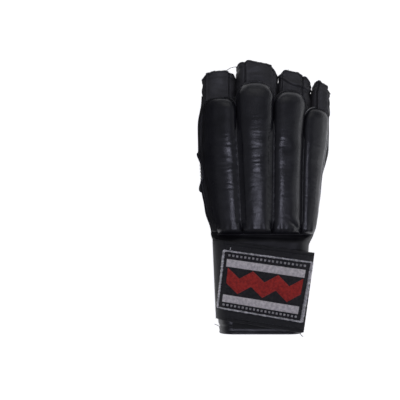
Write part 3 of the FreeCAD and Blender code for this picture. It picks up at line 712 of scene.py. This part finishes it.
def cuff_section(y, inset=0.0):
    part = (CUFF_FRONT - y) / (CUFF_FRONT - CUFF_END)
    left = CUFF_LEFT[0] + (CUFF_LEFT[1] - CUFF_LEFT[0]) * part + inset
    right = CUFF_RIGHT[0] + (CUFF_RIGHT[1] - CUFF_RIGHT[0]) * part - inset
    top = CUFF_TOP - inset
    foot = CUFF_BOTTOM + inset
    corner = 9.0

    def crown(x):
        return np.full_like(x, top)

    return section(left, right, foot, (left + corner, top), (right - corner, top), crown, SLIT[1::-1])


def finger_front(x):
    """Where the hand ends towards the fingers."""
    return 89.5 - 2.5 * ease((x - 8) / 4) - 5.0 * ease((x - 38) / 4)


def push_out(rows, amount):
    """Move each point of a loft outwards in its own cross-section."""
    ahead = np.roll(rows, -1, axis=1) - np.roll(rows, 1, axis=1)
    outward = np.stack([ahead[..., 2], np.zeros_like(ahead[..., 0]), -ahead[..., 0]], axis=-1)
    outward /= np.linalg.norm(outward, axis=-1)[..., None] + 1e-9
    middle = rows.mean(axis=1, keepdims=True)
    sign = np.sign(np.sum(outward * (rows - middle), axis=-1).mean())
    return rows + outward * sign * np.asarray(amount)[..., None]


# ---------------------------------------------------------------- body of the hand

# thumb opening: (distance along the section from the thumb-side edge, y)
HOLE_CENTRE = (-6.0, 22.0)
HOLE_REACH = (13.0, 17.5)


def hand_point(share, loop, y):
    """Point of the hand's surface at a distance along its section, measured from the thumb-side edge."""
    closed = np.vstack([loop, loop[:1]])
    zero = travelled(closed)[np.argmin(loop[:, 0])]
    x, z = points_at(closed, share + zero)
    return np.array([x, y, z])


def make_hand():
    count = 104
    rows = np.zeros((count, BOTTOM + 2 * SIDE + TOP, 3))
    share = np.zeros(rows.shape[:2])
    for i in range(count):
        part = i / (count - 1)
        y = HAND_REAR + part * (HAND_FRONT - HAND_REAR)
        loop = hand_section(y)
        steps = travelled(loop)
        share[i] = steps - steps[np.argmin(loop[:, 0])]
        front = finger_front(loop[:, 0])
        rows[i, :, 0] = loop[:, 0]
        rows[i, :, 1] = HAND_REAR + part * (front - HAND_REAR)
        closing = 1 - 0.5 * ease((part - 0.95) / 0.05)
        rows[i, :, 2] = np.where(loop[:, 1] > 5, 5 + (loop[:, 1] - 5) * closing, loop[:, 1])
    side = (rows[..., 2] > 1.5) & (np.abs(rows[..., 0] + 1) > 38)
    folds = 0.55 * cloud(rows * (1.0, 0.10, 1.6), 5.0, 3) * side
    flesh = 0.30 * cloud(rows, 9.0, 4)
    base_y = rows[..., 1].copy()
    rows = push_out(rows, np.clip(folds + flesh - 0.2, -1.2, 0.45))
    rows[..., 2] = np.maximum(rows[..., 2], 0.08)

    round_hole = (share - HOLE_CENTRE[0]) / HOLE_REACH[0]
    along_hole = (base_y - HOLE_CENTRE[1]) / HOLE_REACH[1]
    radius = np.hypot(round_hole, along_hole)
    for i, j in zip(*np.where(np.abs(radius - 1) < 0.055)):
        rows[i, j] = hole_point(math.atan2(along_hole[i, j], round_hole[i, j]))
        radius[i, j] = 1.0
    corner = (radius[:-1] + radius[1:]) / 2
    middle = (corner + np.roll(corner, -1, axis=1)) / 2
    body = grid("hand_leather", rows, [palm_leather, lining_cloth], around=True, ends=(False, True),
                skip=middle < 1.0)
    thicken(body, 1.4, inner=1)
    declare(body, "soft_leather", "hand", "palm_panel", "thumb_side_gusset", "little_side_gusset",
            "back_lining", "wrist_lining")


def hole_point(turn):
    share = HOLE_CENTRE[0] + HOLE_REACH[0] * math.cos(turn)
    y = HOLE_CENTRE[1] + HOLE_REACH[1] * math.sin(turn)
    return hand_point(share, hand_section(y), y)


make_hand()
hole_path = np.array([hole_point(turn) for turn in np.linspace(0, 2 * math.pi, 72, endpoint=False)])
hole_path[:, 2] = np.maximum(hole_path[:, 2], 1.35)
hole_binding = tube("thumb_hole_binding", hole_path, 1.25, edge_leather, sides=10, closed=True)
declare(hole_binding, "binding", "hand", "thumb_opening_binding")


def side_seam(name, line, inset, node):
    """Piped seam along the top of a side wall, with a row of stitches below it."""
    along = np.linspace(-30.0, 84.0 if inset > 0 else 78.0, 120)
    x = soft_line(along, line) + inset
    edge = ROLL_EDGES[0] if inset > 0 else ROLL_EDGES[4]
    inner = soft_line(along, edge)
    z = np.array([float(arch_level(ix, y, 0)) for ix, y in zip(inner, along)])
    path = np.stack([x, along, z * 0.80], axis=-1)
    seam = tube(name, path, 0.8, edge_leather)
    declare(seam, "binding", "hand", node)
    outward = -0.25 if inset > 0 else 0.25
    low = path + np.array([-inset * 0.72, 0, -3.2])
    stitches(f"{name}_stitches", low, "hand", lift=(outward, 0, 0))


side_seam("thumb_side_seam", THUMB_EDGE, 1.5, "thumb_side_piping")
side_seam("little_side_seam", LITTLE_EDGE, -0.7, "little_side_piping")

# seam across the wrist ends of the rolls
across = np.linspace(-0.37, 0.385, 90)
wrist_seam = tube("wrist_seam", on_arch(across, 0.2, 1.6), 0.9, edge_leather)
declare(wrist_seam, "binding", "hand")

# ---------------------------------------------------------------- flexing leather at the wrist


def mouth(z, shift=0.0):
    """Distance along the glove of the cuff's slanting mouth at a height."""
    return CUFF_FRONT - shift - (CUFF_TOP - z) * MOUTH_SLOPE


WRIST_FRONT = -28.5
WRIST_REAR = -53.0


def make_wrist():
    start = hand_section(-30.0)
    rows = []
    for part in np.linspace(0, 1, 26):
        y_top = WRIST_FRONT + part * (WRIST_REAR - WRIST_FRONT)
        goal = cuff_section(y_top, 0.15)
        mix = ease((part - 0.05) / 0.6)
        loop = start + (goal - start) * mix
        rear = mouth(loop[:, 1], 8.0)
        y = WRIST_FRONT + part * (rear - WRIST_FRONT)
        rows.append(np.stack([loop[:, 0], y, loop[:, 1]], axis=-1))
    rows = np.array(rows)
    part = np.linspace(0, 1, 26)[:, None]
    soft = 0.5 * cloud(rows * (1, 1.4, 1), 11.0, 8) - 0.5 * bell(part - 0.02, 0.1)
    crease = -0.5 * bell(rows[..., 1] + 35.5 + 0.04 * rows[..., 0], 1.0) * (rows[..., 2] > 15)
    tuck = -1.9 * (1 - ease((part - 0.02) / 0.10))
    rows = push_out(rows, np.clip(soft + crease, -1.2, 0.3) * ease(part / 0.15) + tuck)
    rows[..., 2] = np.maximum(rows[..., 2], 0.25)
    # the darker wrist leather paints shade on this strip
    wrist = grid("wrist_leather", rows, [painted_shade_wrist_leather, lining_cloth], around=True)
    thicken(wrist, 1.2, inner=1)
    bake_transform(wrist)


make_wrist()

# ---------------------------------------------------------------- finger stalls


def stall_loop(side_height, height):
    """Section of a stall, across from -1 to 1: flat palm side, soft walls, crowned back."""
    flat = np.linspace(0.80, -0.80, 12, endpoint=False)
    bottom = np.stack([flat, np.full_like(flat, 0.45)], axis=-1)
    left = bezier((-0.80, 0.45), (-1.07, 0.45), (-1.05, side_height * 0.8), (-0.90, side_height + 0.9), 10)
    x = np.linspace(-0.90, 0.90, 64, endpoint=False)
    over = side_height + 0.9 + (height - side_height - 0.9) * (1 - (x / 0.90) ** 2) ** 0.6
    right = bezier((0.90, side_height + 0.9), (1.05, side_height * 0.8), (1.07, 0.45), (0.80, 0.45), 10)
    return np.concatenate([bottom, left, np.stack([x, over], axis=-1), right])


def make_stall(finger):
    root_sides, end_sides, root, length, height, side_height = STALLS[finger]
    loop = stall_loop(side_height, height)
    place = loop[:, 0]
    seed = 21 + list(STALLS).index(finger)
    end = soft_line(place, STALL_ENDS[finger], 0.07)
    end = end + 0.5 * cloud(np.stack([place * 14, 0 * place, loop[:, 1]], axis=-1), 2.6, seed)
    rows = []
    for part in np.linspace(0, 1, 46):
        y = -STALL_OVERLAP + part * (end + STALL_OVERLAP)
        mix = ease((y - length * 0.42) / (length * 0.56))
        low = root_sides[0] + (end_sides[0] - root_sides[0]) * mix
        high = root_sides[1] + (end_sides[1] - root_sides[1]) * mix
        x = (low + high) / 2 + (high - low) / 2 * place
        inside = 1 - ease((y - 1.0) / 3.0)
        z = np.maximum(loop[:, 1], 0.45 + 1.75 * inside)
        rows.append(np.stack([x, root + y, z], axis=-1))
    rows = np.array(rows)
    upper = rows[..., 2] > side_height * 0.7
    width = (root_sides[1] - root_sides[0]) / 2
    groove = 0 * rows[..., 0]
    for seam, inward in zip(STALL_SEAMS[finger], (1, -1)):
        away = (place[None, :] - seam) * width
        groove = groove - 1.5 * bell(away, 0.62) + 0.5 * bell(away - inward * 1.5, 0.8)
    fold = cloud(rows * (0.5, 1.2, 1) + (0, seed * 10, 0), 6.0, seed)
    amount = upper * groove + 0.85 * fold
    amount = amount - 0.35 * bell(rows[..., 1] - root - end[None, :] + 4.4, 0.6)
    middle = (root_sides[0] + root_sides[1]) / 2
    if finger == "ring":
        away = rows[..., 1] - root - (RING_FOLD[0] + RING_FOLD[1] * (rows[..., 0] - middle))
        away = away + 0.7 * np.sin(rows[..., 0] * 0.32)
        amount = amount + upper * (0.9 * bell(away, 1.5) - 0.7 * bell(away + 2.6, 1.4))
    rows = push_out(rows, np.clip(amount, -2.1, 0.9))
    rows[..., 2] = np.maximum(rows[..., 2], 0.1)
    edge = rows[-1].copy()
    edge[:, 2] = np.maximum(edge[:, 2], 0.96)
    # the stalls' lighter leather partly paints the light on the finger end
    stall = grid(f"{finger}_stall", rows, [stall_leather, lining_cloth], around=True)
    thicken(stall, 1.1, inner=1)
    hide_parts(f"{finger}_stall_back", f"{finger}_stall_palm", f"{finger}_fourchettes")
    body = f"{finger}_finger"
    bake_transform(stall)

    inward = edge.mean(axis=0) - edge
    inward[:, 1] = 0
    inward /= np.linalg.norm(inward, axis=1)[:, None]
    ring = edge + inward * 0.55
    hem = tube(f"{finger}_stall_hem", ring, 0.95, hem_leather, sides=8, closed=True)
    declare(hem, "binding", body, f"{finger}_hem")

    # loose ends of thread at the open edge
    chance = random.Random(seed)
    frays = []
    for _ in range(9 if finger == "little" else 5):
        start = ring[chance.randrange(24, 84)]
        heading = np.array([chance.uniform(*ends) for ends in ((-0.8, 0.8), (0.2, 1.0), (-0.2, 0.3))])
        bend = np.array([chance.uniform(-most, most) for most in (1, 0.6, 0.3)])
        t = np.linspace(0, 1, 7)[:, None]
        reach = chance.uniform(1.2, 3.0)
        path = start + heading * t * reach + bend * t * t * 1.4
        frays.append(tube("fray", path, 0.10, black_thread, sides=5))
    threads = join(f"{finger}_stall_threads", frays)
    declare(threads, "thread", body)


for finger in STALLS:
    make_stall(finger)


def loose_thread(name, corners, body, radius):
    """Pulled thread that bends through a few points."""
    a, b, c, d = corners
    path = np.vstack([bezier(a, b, c, d, 14), np.array([d], float)])
    thread = tube(name, path, radius, black_thread, sides=6)
    declare(thread, "thread", body)


loose_thread("index_pulled_thread", ((-33.4, 110.6, 14.0), (-31.0, 113.6, 15.0), (-28.5, 114.4, 15.0),
                                     (-24.0, 114.8, 15.0)), "index_finger", 0.26)


def palm_stitches(name, stations, wander):
    """Row of stitches sunk in the palm leather."""
    path = np.array([(x, y, 0.22) for x, y in stations])
    path = spaced(path, 2.0)
    path[:, 1] += wander * np.sin(path[:, 0] * 0.15)
    stitches(name, path, "hand", pitch=3.4, length=2.4, radius=0.16, lift=(0, 0, -0.04))


palm_stitches("palm_stitches_fingers",
              ((-50, 82), (5, 82), (12, 80), (38, 79.5), (44, 75), (54, 74.5)), 0.3)
palm_stitches("palm_stitches_wrist", ((-41, -27), (0, -26), (38, -27)), 0.2)

# ---------------------------------------------------------------- cuff


def make_cuff():
    rows = []
    for part in np.linspace(0, 1, 74):
        y_top = CUFF_FRONT + part * (CUFF_END - CUFF_FRONT)
        loop = cuff_section(y_top, 0.8)
        front = mouth(loop[:, 1])
        y = front + part * (CUFF_END - front)
        rows.append(np.stack([loop[:, 0], y, loop[:, 1]], axis=-1))
    rows = np.array(rows)
    y = rows[..., 1]
    hem = -0.9 * bell(y - CUFF_END - 6.5, 1.0)
    round_end = -1.6 * ease((CUFF_END + 2.5 - y) / 2.5)
    soft = 0.7 * cloud(rows, 16.0, 31) + 0.35 * cloud(rows * (1.6, 1, 1), 6.0, 32)
    rows = push_out(rows, np.clip(hem + round_end + soft, -2.0, 0.6))
    x = (rows[:-1, :, 0] + rows[1:, :, 0]) / 2
    x = (x + np.roll(x, -1, axis=1)) / 2
    level = (rows[:-1, :, 2] + rows[1:, :, 2]) / 2
    behind = (y[:-1] + y[1:]) / 2
    slit = (x > SLIT[0]) & (x < SLIT[1]) & (level < 6) & (behind < SLIT[2])
    cuff = grid("cuff_body", rows, [cuff_leather, lining_cloth], around=True, skip=slit)
    thicken(cuff, 4.2, inner=1, smoothing=1)
    declare(cuff, "leather", "cuff", "cuff_shell", "cuff_padding", "cuff_lining", "cuff_mouth_binding")

    loop = cuff_section(CUFF_END, 1.9)
    keep = ~((loop[:, 0] > SLIT[0] - 0.5) & (loop[:, 0] < SLIT[1] + 0.5) & (loop[:, 1] < 6))
    first = int(np.argmin(keep))
    order = np.roll(np.arange(len(loop)), -first)
    order = [k for k in order if keep[k]]
    path = np.stack([loop[order, 0], np.full(len(order), CUFF_END + 0.9), loop[order, 1]], axis=-1)
    binding = tube("cuff_hem", spaced(path, 2.0), 1.2, edge_leather, sides=10)
    declare(binding, "binding", "cuff", "cuff_hem_binding")
    low = path + np.array([0, 5.2, 0])
    low[:, 2] += np.where(low[:, 2] > 17, 1.1, -1.1)
    stitches("cuff_hem_stitches", low, "cuff")


make_cuff()
loose_thread("cuff_thread_right", ((30.4, -118.6, 4.0), (33.0, -121.5, 4.6), (33.4, -123.5, 4.8),
                                   (35.6, -124.6, 4.6)), "cuff", 0.34)
loose_thread("cuff_thread_left", ((-39.6, -114.0, 20.0), (-40.8, -113.0, 21.0), (-41.6, -112.8, 22.0),
                                  (-43.4, -111.8, 23.0)), "cuff", 0.28)


RIB_PITCH = 1.9


def plate(name, x_range, y_range, level, thickness, material, rib=0.0, frame_of=None):
    """Flat panel with an optional rib across it."""
    x = np.linspace(*x_range, 61)
    y = np.linspace(*y_range, 61)
    rows = np.zeros((len(y), len(x), 3))
    rows[..., 0], rows[..., 1] = np.meshgrid(x, y)
    rows[..., 2] = level + rib * np.sin(rows[..., 0] * 2 * math.pi / RIB_PITCH)
    if frame_of is not None:
        rows = frame_of(rows)
    panel = grid(name, rows, material)
    return thicken(panel, thickness, offset=0.0)


gore = plate("wrist_gore_elastic", (2.0, 24.0), (-119.0, -57.0), 7.2, 0.6, gore_cloth, rib=0.18)
declare(gore, "lining", "cuff", "wrist_gore")

loop_tape = plate("loop_tape", (-28.0, 22.0), (-115.0, -48.2), 32.45, 0.7, loop_field)
declare(loop_tape, "hook_and_loop", "cuff", "loop_panel")

# ---------------------------------------------------------------- strap


# the strap's run, in its own frame: the hinge's height, and the middle (x, z) and inner radius of each bend
HINGE_HEIGHT = 17.05
OVER_X, OVER_Z, OVER_RADIUS = 9.6, 24.0, 10.0
UNDER_X, UNDER_Z, UNDER_RADIUS = 8.9, 11.1, 9.3
DROOP_X, DROOP_RADIUS = 67.2, 40.0
HALF_STRAP = STRAP_THICKNESS / 2
RISE = OVER_Z - HINGE_HEIGHT
DROP = HINGE_HEIGHT - UNDER_Z
HINGE_TO_TOP = RISE + math.pi / 2 * (OVER_RADIUS + HALF_STRAP)
HINGE_TO_FLOOR = DROP + math.pi / 2 * (UNDER_RADIUS + HALF_STRAP)
FLOOR_RUN = 56.0  # how far the strap runs on under the cuff
FLOOR_LIFT = 0.35
FLOOR_EDGES = (-48.5, -108.5)  # y of its two edges there


def strap_profile(distance, offset):
    """Section of the strap in its own frame: (x, z) at a distance from the hinge, positive over the top."""
    distance = np.asarray(distance, float)
    top_end = HINGE_TO_TOP + DROOP_X - OVER_X
    over = math.pi - (distance - RISE) / (OVER_RADIUS + HALF_STRAP)
    under = math.pi - (DROP + distance) / (UNDER_RADIUS + HALF_STRAP)
    fall = (distance - top_end) / (DROOP_RADIUS + HALF_STRAP)
    flat = np.ones_like(distance)
    stretches = (
        (distance < -HINGE_TO_FLOOR, UNDER_X - distance - HINGE_TO_FLOOR,
         (UNDER_Z - UNDER_RADIUS - offset + FLOOR_LIFT) * flat),
        (distance < -DROP, UNDER_X + (UNDER_RADIUS + offset) * np.cos(under),
         UNDER_Z + (UNDER_RADIUS + offset) * np.sin(under)),
        (distance <= RISE, (OVER_X - OVER_RADIUS - offset) * flat, HINGE_HEIGHT + distance),
        (distance <= HINGE_TO_TOP, OVER_X + (OVER_RADIUS + offset) * np.cos(over),
         OVER_Z + (OVER_RADIUS + offset) * np.sin(over)),
        (distance <= top_end, OVER_X + distance - HINGE_TO_TOP, (STRAP_UNDERSIDE + offset) * flat),
        (distance > top_end, DROOP_X + (DROOP_RADIUS + offset) * np.sin(fall),
         STRAP_UNDERSIDE - DROOP_RADIUS + (DROOP_RADIUS + offset) * np.cos(fall)),
    )
    where, x, z = zip(*stretches)
    return np.select(where, x), np.select(where, z)


def strap_reach(x):
    """Distance along the strap, from the hinge, of a plan place in the strap's frame."""
    samples = np.linspace(0, 110, 400)
    across, _ = strap_profile(samples, STRAP_THICKNESS)
    return np.interp(x, across, samples)


def local_x(x, y):
    """Sideways place in the strap's frame of a point in plan."""
    return math.cos(STRAP_TAPER) * (x - STRAP_ORIGIN[0]) + math.sin(STRAP_TAPER) * (y - STRAP_ORIGIN[1])


def from_strap_frame(x, y, z):
    c, s = math.cos(STRAP_TAPER), math.sin(STRAP_TAPER)
    plan = (STRAP_ORIGIN[0] + c * x - s * y, STRAP_ORIGIN[1] + s * x + c * y)
    return np.stack(np.broadcast_arrays(*plan, z), axis=-1)


def edge_y(edge, x):
    (x0, y0), (x1, y1) = edge
    return y0 + (x - x0) * (y1 - y0) / (x1 - x0)


def make_strap():
    """One run of tape: from under the cuff, round its thumb side and over its back to the free end."""
    widths = np.linspace(0, 1, 41)
    first = -HINGE_TO_FLOOR - FLOOR_RUN
    columns = []
    for v in widths:
        corner = (high + (low - high) * v for high, low in zip(STRAP_TOP_EDGE[1], STRAP_LOW_EDGE[1]))
        end = float(strap_reach(local_x(*corner)))
        distance = np.concatenate([np.linspace(first, -8, 50, endpoint=False),
                                   np.linspace(-8, HINGE_TO_TOP, 40, endpoint=False),
                                   np.linspace(HINGE_TO_TOP, end, 70)])
        x, z = strap_profile(distance, HALF_STRAP)
        plan = STRAP_ORIGIN[0] + x
        high = edge_y(STRAP_TOP_EDGE, plan)
        low = edge_y(STRAP_LOW_EDGE, plan)
        down = ease((OVER_Z - z) / 22.0) * (distance < HINGE_TO_TOP)
        high = high * (1 - down) + FLOOR_EDGES[0] * down
        low = low * (1 - down) + FLOOR_EDGES[1] * down
        y_row = high + (low - high) * v
        s, c = math.sin(STRAP_TAPER), math.cos(STRAP_TAPER)
        y_local = (y_row - STRAP_ORIGIN[1] - s * x) / c
        columns.append(from_strap_frame(x, y_local, z))
    rows = np.array(columns).transpose(1, 0, 2)
    rows[..., 2] += (rows[..., 2] > 30) * STRAP_UNEVEN * cloud(rows, *STRAP_WAVES)
    edges = np.abs(widths - 0.5)[None, :] > 0.47
    rows[..., 2] += 0.3 * edges * (rows[..., 2] > 30) * cloud(rows, 7.0, 42)
    strap = grid("wrist_strap", rows, strap_cloth)
    bevel = strap.modifiers.new("round", "BEVEL")
    bevel.width = 0.3 * MM
    thicken(strap, STRAP_THICKNESS - 0.1, offset=0.0)
    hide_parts("strap_root", "strap_flap")
    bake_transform(strap)


make_strap()


def strap_level(points, lift):
    """Lay plan points on the strap: returns them with the height of the strap's outer face plus a lift."""
    points = np.asarray(points, float)
    x = local_x(points[..., 0], points[..., 1])
    samples = np.linspace(0, 112, 800)
    across, level = strap_profile(samples, STRAP_THICKNESS)
    z = np.interp(x, across, level)
    middle = np.stack([points[..., 0], points[..., 1], z - HALF_STRAP], axis=-1)
    ripple = STRAP_UNEVEN * cloud(middle, *STRAP_WAVES)
    return np.stack([points[..., 0], points[..., 1], z + ripple + lift], axis=-1)


def edge_tape(name, edge, inward, span, *nodes):
    """Folded tape sewn along one long edge of the strap, with its row of stitches."""
    x = np.linspace(*span, 110)
    rows = []
    for part in np.linspace(0, 1, 7):
        y = edge_y(edge, x) + inward * (0.2 + 2.6 * part)
        crown = 0.5 * math.sqrt(max(0.0, 1 - (2 * part - 1) ** 2))
        rows.append(strap_level(np.stack([x, y], axis=-1), 0.08 + crown))
    tape = grid(name, np.array(rows), tape_cloth)
    thicken(tape, 0.25, offset=0.0)
    declare(tape, "binding", "strap", *nodes)
    path = strap_level(np.stack([x, edge_y(edge, x) + inward * 3.6], axis=-1), 0.12)
    stitches(f"{name}_stitches", path, "strap")


edge_tape("strap_top_tape", STRAP_TOP_EDGE, -1, (-36.0, 42.5), "strap_edge_binding")
edge_tape("strap_low_tape", STRAP_LOW_EDGE, 1, (-34.0, 33.0))


def in_label(points):
    """Turn label places (x, y, ...) into plan places; the label is sewn on a little out of square."""
    c, s = math.cos(LABEL_TURN), math.sin(LABEL_TURN)
    x, y = points[..., 0], points[..., 1]
    across = x / LABEL_SIZE[0] + 0.5
    up = y / LABEL_SIZE[1] + 0.5
    low_left, low_right, top_left, top_right = LABEL_STRAY
    shift = [low_left[k] * (1 - across) * (1 - up) + low_right[k] * across * (1 - up)
             + top_left[k] * (1 - across) * up + top_right[k] * across * up for k in (0, 1)]
    x, y = x + shift[0], y + shift[1]
    return np.stack([LABEL_CENTRE[0] + c * x - s * y, LABEL_CENTRE[1] + s * x + c * y], axis=-1)


def hook_frame(rows):
    plan = in_label(rows)
    return np.concatenate([plan, rows[..., 2:]], axis=-1)


hook_tape = plate("hook_tape", (-22.0, 22.0), (-28.0, 28.0), 33.65, 0.5, hook_field, frame_of=hook_frame)
declare(hook_tape, "hook_and_loop", "strap", "hook_patch")

# ---------------------------------------------------------------- label

half_length = LABEL_SIZE[0] / 2
half_width = LABEL_SIZE[1] / 2


def label_patch(name, lower, upper, x_range, columns, rows_count, lift, thickness, material, slot, *nodes):
    """Raised area of the label between two lines y(x), with its edges rolled down."""
    x = np.linspace(*x_range, columns)
    rows = []
    for part in np.linspace(0, 1, rows_count):
        y = lower(x) + (upper(x) - lower(x)) * part
        edge = min(part, 1 - part) * rows_count / 2
        drop = -thickness * (1 - min(1.0, edge)) ** 2
        rib = 0.05 * np.sin(x * 2 * math.pi / 0.75)
        rows.append(strap_level(in_label(np.stack([x, y], axis=-1)), lift + drop + rib))
    patch = grid(name, np.array(rows), material)
    thicken(patch, thickness)
    declare(patch, slot, "strap", *nodes)


def level_line(value):
    return lambda x: np.full_like(x, value)


label_patch("label_ground", level_line(-half_width + 1), level_line(half_width - 1),
            (-half_length + 1, half_length - 1), 160, 110, 0.5, 0.45, label_ground, "label_black",
            "label_backing")

# middle and half-width of each pale band, and the node that it stands for
BANDS = {"upper": (14.9, 3.4, "label_light_bands"), "lower": (-16.1, 3.3)}
for name, (middle, half, *nodes) in BANDS.items():
    label_patch(f"label_band_{name}", level_line(middle - half), level_line(middle + half),
                (-33.4, 32.4), 360, 12, 0.82, 0.3, label_grey, "label_grey", *nodes)

ZIGZAG_RISE = 8.0
ZIGZAG_STEP = 10.6
ZIGZAG_HALF = 6.8


def zigzag(offset):
    def line(x):
        phase = (x / ZIGZAG_STEP + 3) % 2
        return ZIGZAG_RISE * (0.5 - np.where(phase < 1, phase, 2 - phase)) + offset
    return line


label_patch("label_zigzag", zigzag(-ZIGZAG_HALF), zigzag(ZIGZAG_HALF), (-31.8, 31.8), 380, 16, 0.85, 0.32,
            label_red, "label_red", "label_red_band")


def dash_row(name, y):
    """Row of small woven dashes."""
    made = []
    for start in np.arange(-32.6, 31.0, 3.3):
        x = np.linspace(start, start + 1.7, 5)
        path = strap_level(in_label(np.stack([x, np.full_like(x, y)], axis=-1)), 0.40)
        made.append(tube("dash", path, 0.95, dash_yarn, sides=8))
    row = join(name, made)
    declare(row, "label_grey", "strap")


dash_row("label_dashes_upper", 21.6)
dash_row("label_dashes_lower", -21.6)


def label_outline(inset, pitch):
    """Even points round the label, with the way outwards at each."""
    length, width = half_length - inset, half_width - inset
    corners = np.array([(-length, -width), (length, -width), (length, width), (-length, width),
                        (-length, -width)])
    points, outward = [], []
    ways = np.array([(0, -1), (1, 0), (0, 1), (-1, 0)], float)
    for start, end, way in zip(corners, corners[1:], ways):
        count = int(np.linalg.norm(end - start) / pitch)
        for step in range(count):
            points.append(start + (end - start) * step / count)
            outward.append(way)
    return np.array(points), np.array(outward)


def make_border():
    """Overlocked edge: slanted yarn loops over a raised rim."""
    chance = random.Random(7)
    points, outward = label_outline(1.0, 1.05)
    made = []
    for point, way in zip(points, outward):
        slant = np.array([-way[1], way[0]]) * 0.5
        widest = 1.20 if way[0] > 0 else 0.75 if way[0] < 0 else 0.55
        reach = widest + chance.uniform(-0.2, 0.2)
        t = np.linspace(-1, 1, 6)
        plan = point + way * (t * reach)[:, None] + slant * t[:, None]
        laid = strap_level(in_label(plan), 0.0)
        laid[:, 2] += 0.25 + 0.75 * np.cos(t * 1.35) + chance.uniform(-0.06, 0.06)
        made.append(tube("loop", laid, 0.40 + chance.uniform(-0.05, 0.05), border_yarn, sides=6))
    border = join("label_edge_yarn", made)
    declare(border, "label_grey", "strap", "label_border")


make_border()


def label_thread():
    """Thread pulled out of the label's upper edge."""
    ends = in_label(np.array([(-32.2, 24.6), (-31.6, 27.0), (-31.4, 28.8)]))
    path = strap_level(spaced(np.column_stack([ends, np.zeros(3)]), 0.6), 0.9)
    thread = tube("label_pulled_thread", path, 0.28, border_yarn, sides=6)
    declare(thread, "label_grey", "strap")


label_thread()

# ---------------------------------------------------------------- stage


def plain(name, shade, rough, glow):
    """Even grey surface that glows white."""
    recipe = Recipe(name)
    recipe.set("Base Color", (shade, shade, shade, 1))
    recipe.set("Roughness", rough)
    recipe.set("Emission Color", (1, 1, 1, 1))
    recipe.set("Emission Strength", glow)
    return recipe.done()


def make_floor():
    half = 1500
    corners = [(-half, -half, -0.1), (half, -half, -0.1), (half, half, -0.1), (-half, half, -0.1)]
    mesh_from("floor", corners, [(0, 1, 2, 3)], plain("floor", 0.90, 0.9, 0.80))


make_floor()


def make_backdrop():
    """White room round the stage, seen by the camera alone."""
    up = np.linspace(0, 2 * math.pi, 33)[:-1]
    rows = []
    for tilt in np.linspace(-0.1, math.pi / 2 - 0.01, 14):
        ring = 9000 * np.stack([np.cos(up) * math.cos(tilt), np.sin(up) * math.cos(tilt),
                                np.full_like(up, math.sin(tilt))], axis=-1)
        rows.append(ring)
    white = plain("backdrop", 0.0, 0.5, 1.05)
    room = grid("backdrop", np.array(rows), white, around=True, ends=(False, True))
    room.visible_diffuse = False
    room.visible_glossy = False
    room.visible_shadow = False


def make_flag():
    """Dark card beside the thumb side, seen by reflections alone."""
    profile = ((-49.0, 0.3), (-63.0, 0.5), (-66.0, 46.0))
    rows = [[(x, -40, z), (x, 128, z)] for x, z in profile]
    card = grid("flag", np.array(rows), plain("flag", 0.01, 1.0, 0.0))
    card.visible_camera = False
    card.visible_diffuse = False
    card.visible_shadow = False


make_backdrop()
make_flag()

world = bpy.data.worlds.new("studio")
world.use_nodes = True
world.node_tree.nodes["Background"].inputs["Color"].default_value = (0.80, 0.82, 0.90, 1)
world.node_tree.nodes["Background"].inputs["Strength"].default_value = 0.17
bpy.context.scene.world = world


def softbox(name, place, aim, size, power, colour=(1, 1, 1)):
    lamp = bpy.data.lights.new(name, "AREA")
    lamp.shape = "ELLIPSE"
    lamp.size, lamp.size_y = size
    lamp.energy = power
    lamp.color = colour
    holder = bpy.data.objects.new(name, lamp)
    holder.location = Vector(place)
    holder.rotation_euler = (Vector(aim) - Vector(place)).to_track_quat("-Z", "Y").to_euler()
    holder.visible_camera = False
    bpy.context.collection.objects.link(holder)


softbox("overhead", (-0.05, -0.11, 1.5), (-0.05, -0.11, 0.0), (0.40, 0.72), 4.9, (0.80, 0.80, 1.0))
softbox("finger_side", (0.0, 1.5, 1.1), (0, 0.05, 0), (1.6, 1.0), 2.4, (1.0, 0.99, 0.98))
softbox("left", (-1.5, 0.1, 0.9), (0, 0, 0), (1.0, 1.6), 0.2)
softbox("right", (1.5, 0.1, 0.9), (0, 0, 0), (1.6, 0.9), 1.9, (0.95, 0.96, 1.0))
softbox("right_low", (1.5, 0.05, 0.15), (0, 0, 0.02), (1.6, 0.24), 2.4, (0.95, 0.96, 1.0))

VIEW_WIDTH = 0.352  # what the camera sees across, 0.02 m above the floor
VIEW_DISTANCE = 1.20
camera = bpy.data.objects.new("camera", bpy.data.cameras.new("camera"))
bpy.context.collection.objects.link(camera)
camera.location = (-0.0563, -0.0029, 1.22)
camera.rotation_euler = (0, 0, 0)
camera.data.lens = 36.0 * VIEW_DISTANCE / VIEW_WIDTH
camera.data.clip_end = 40
bpy.context.scene.camera = camera
bpy.context.scene.view_settings.view_transform = "Standard"
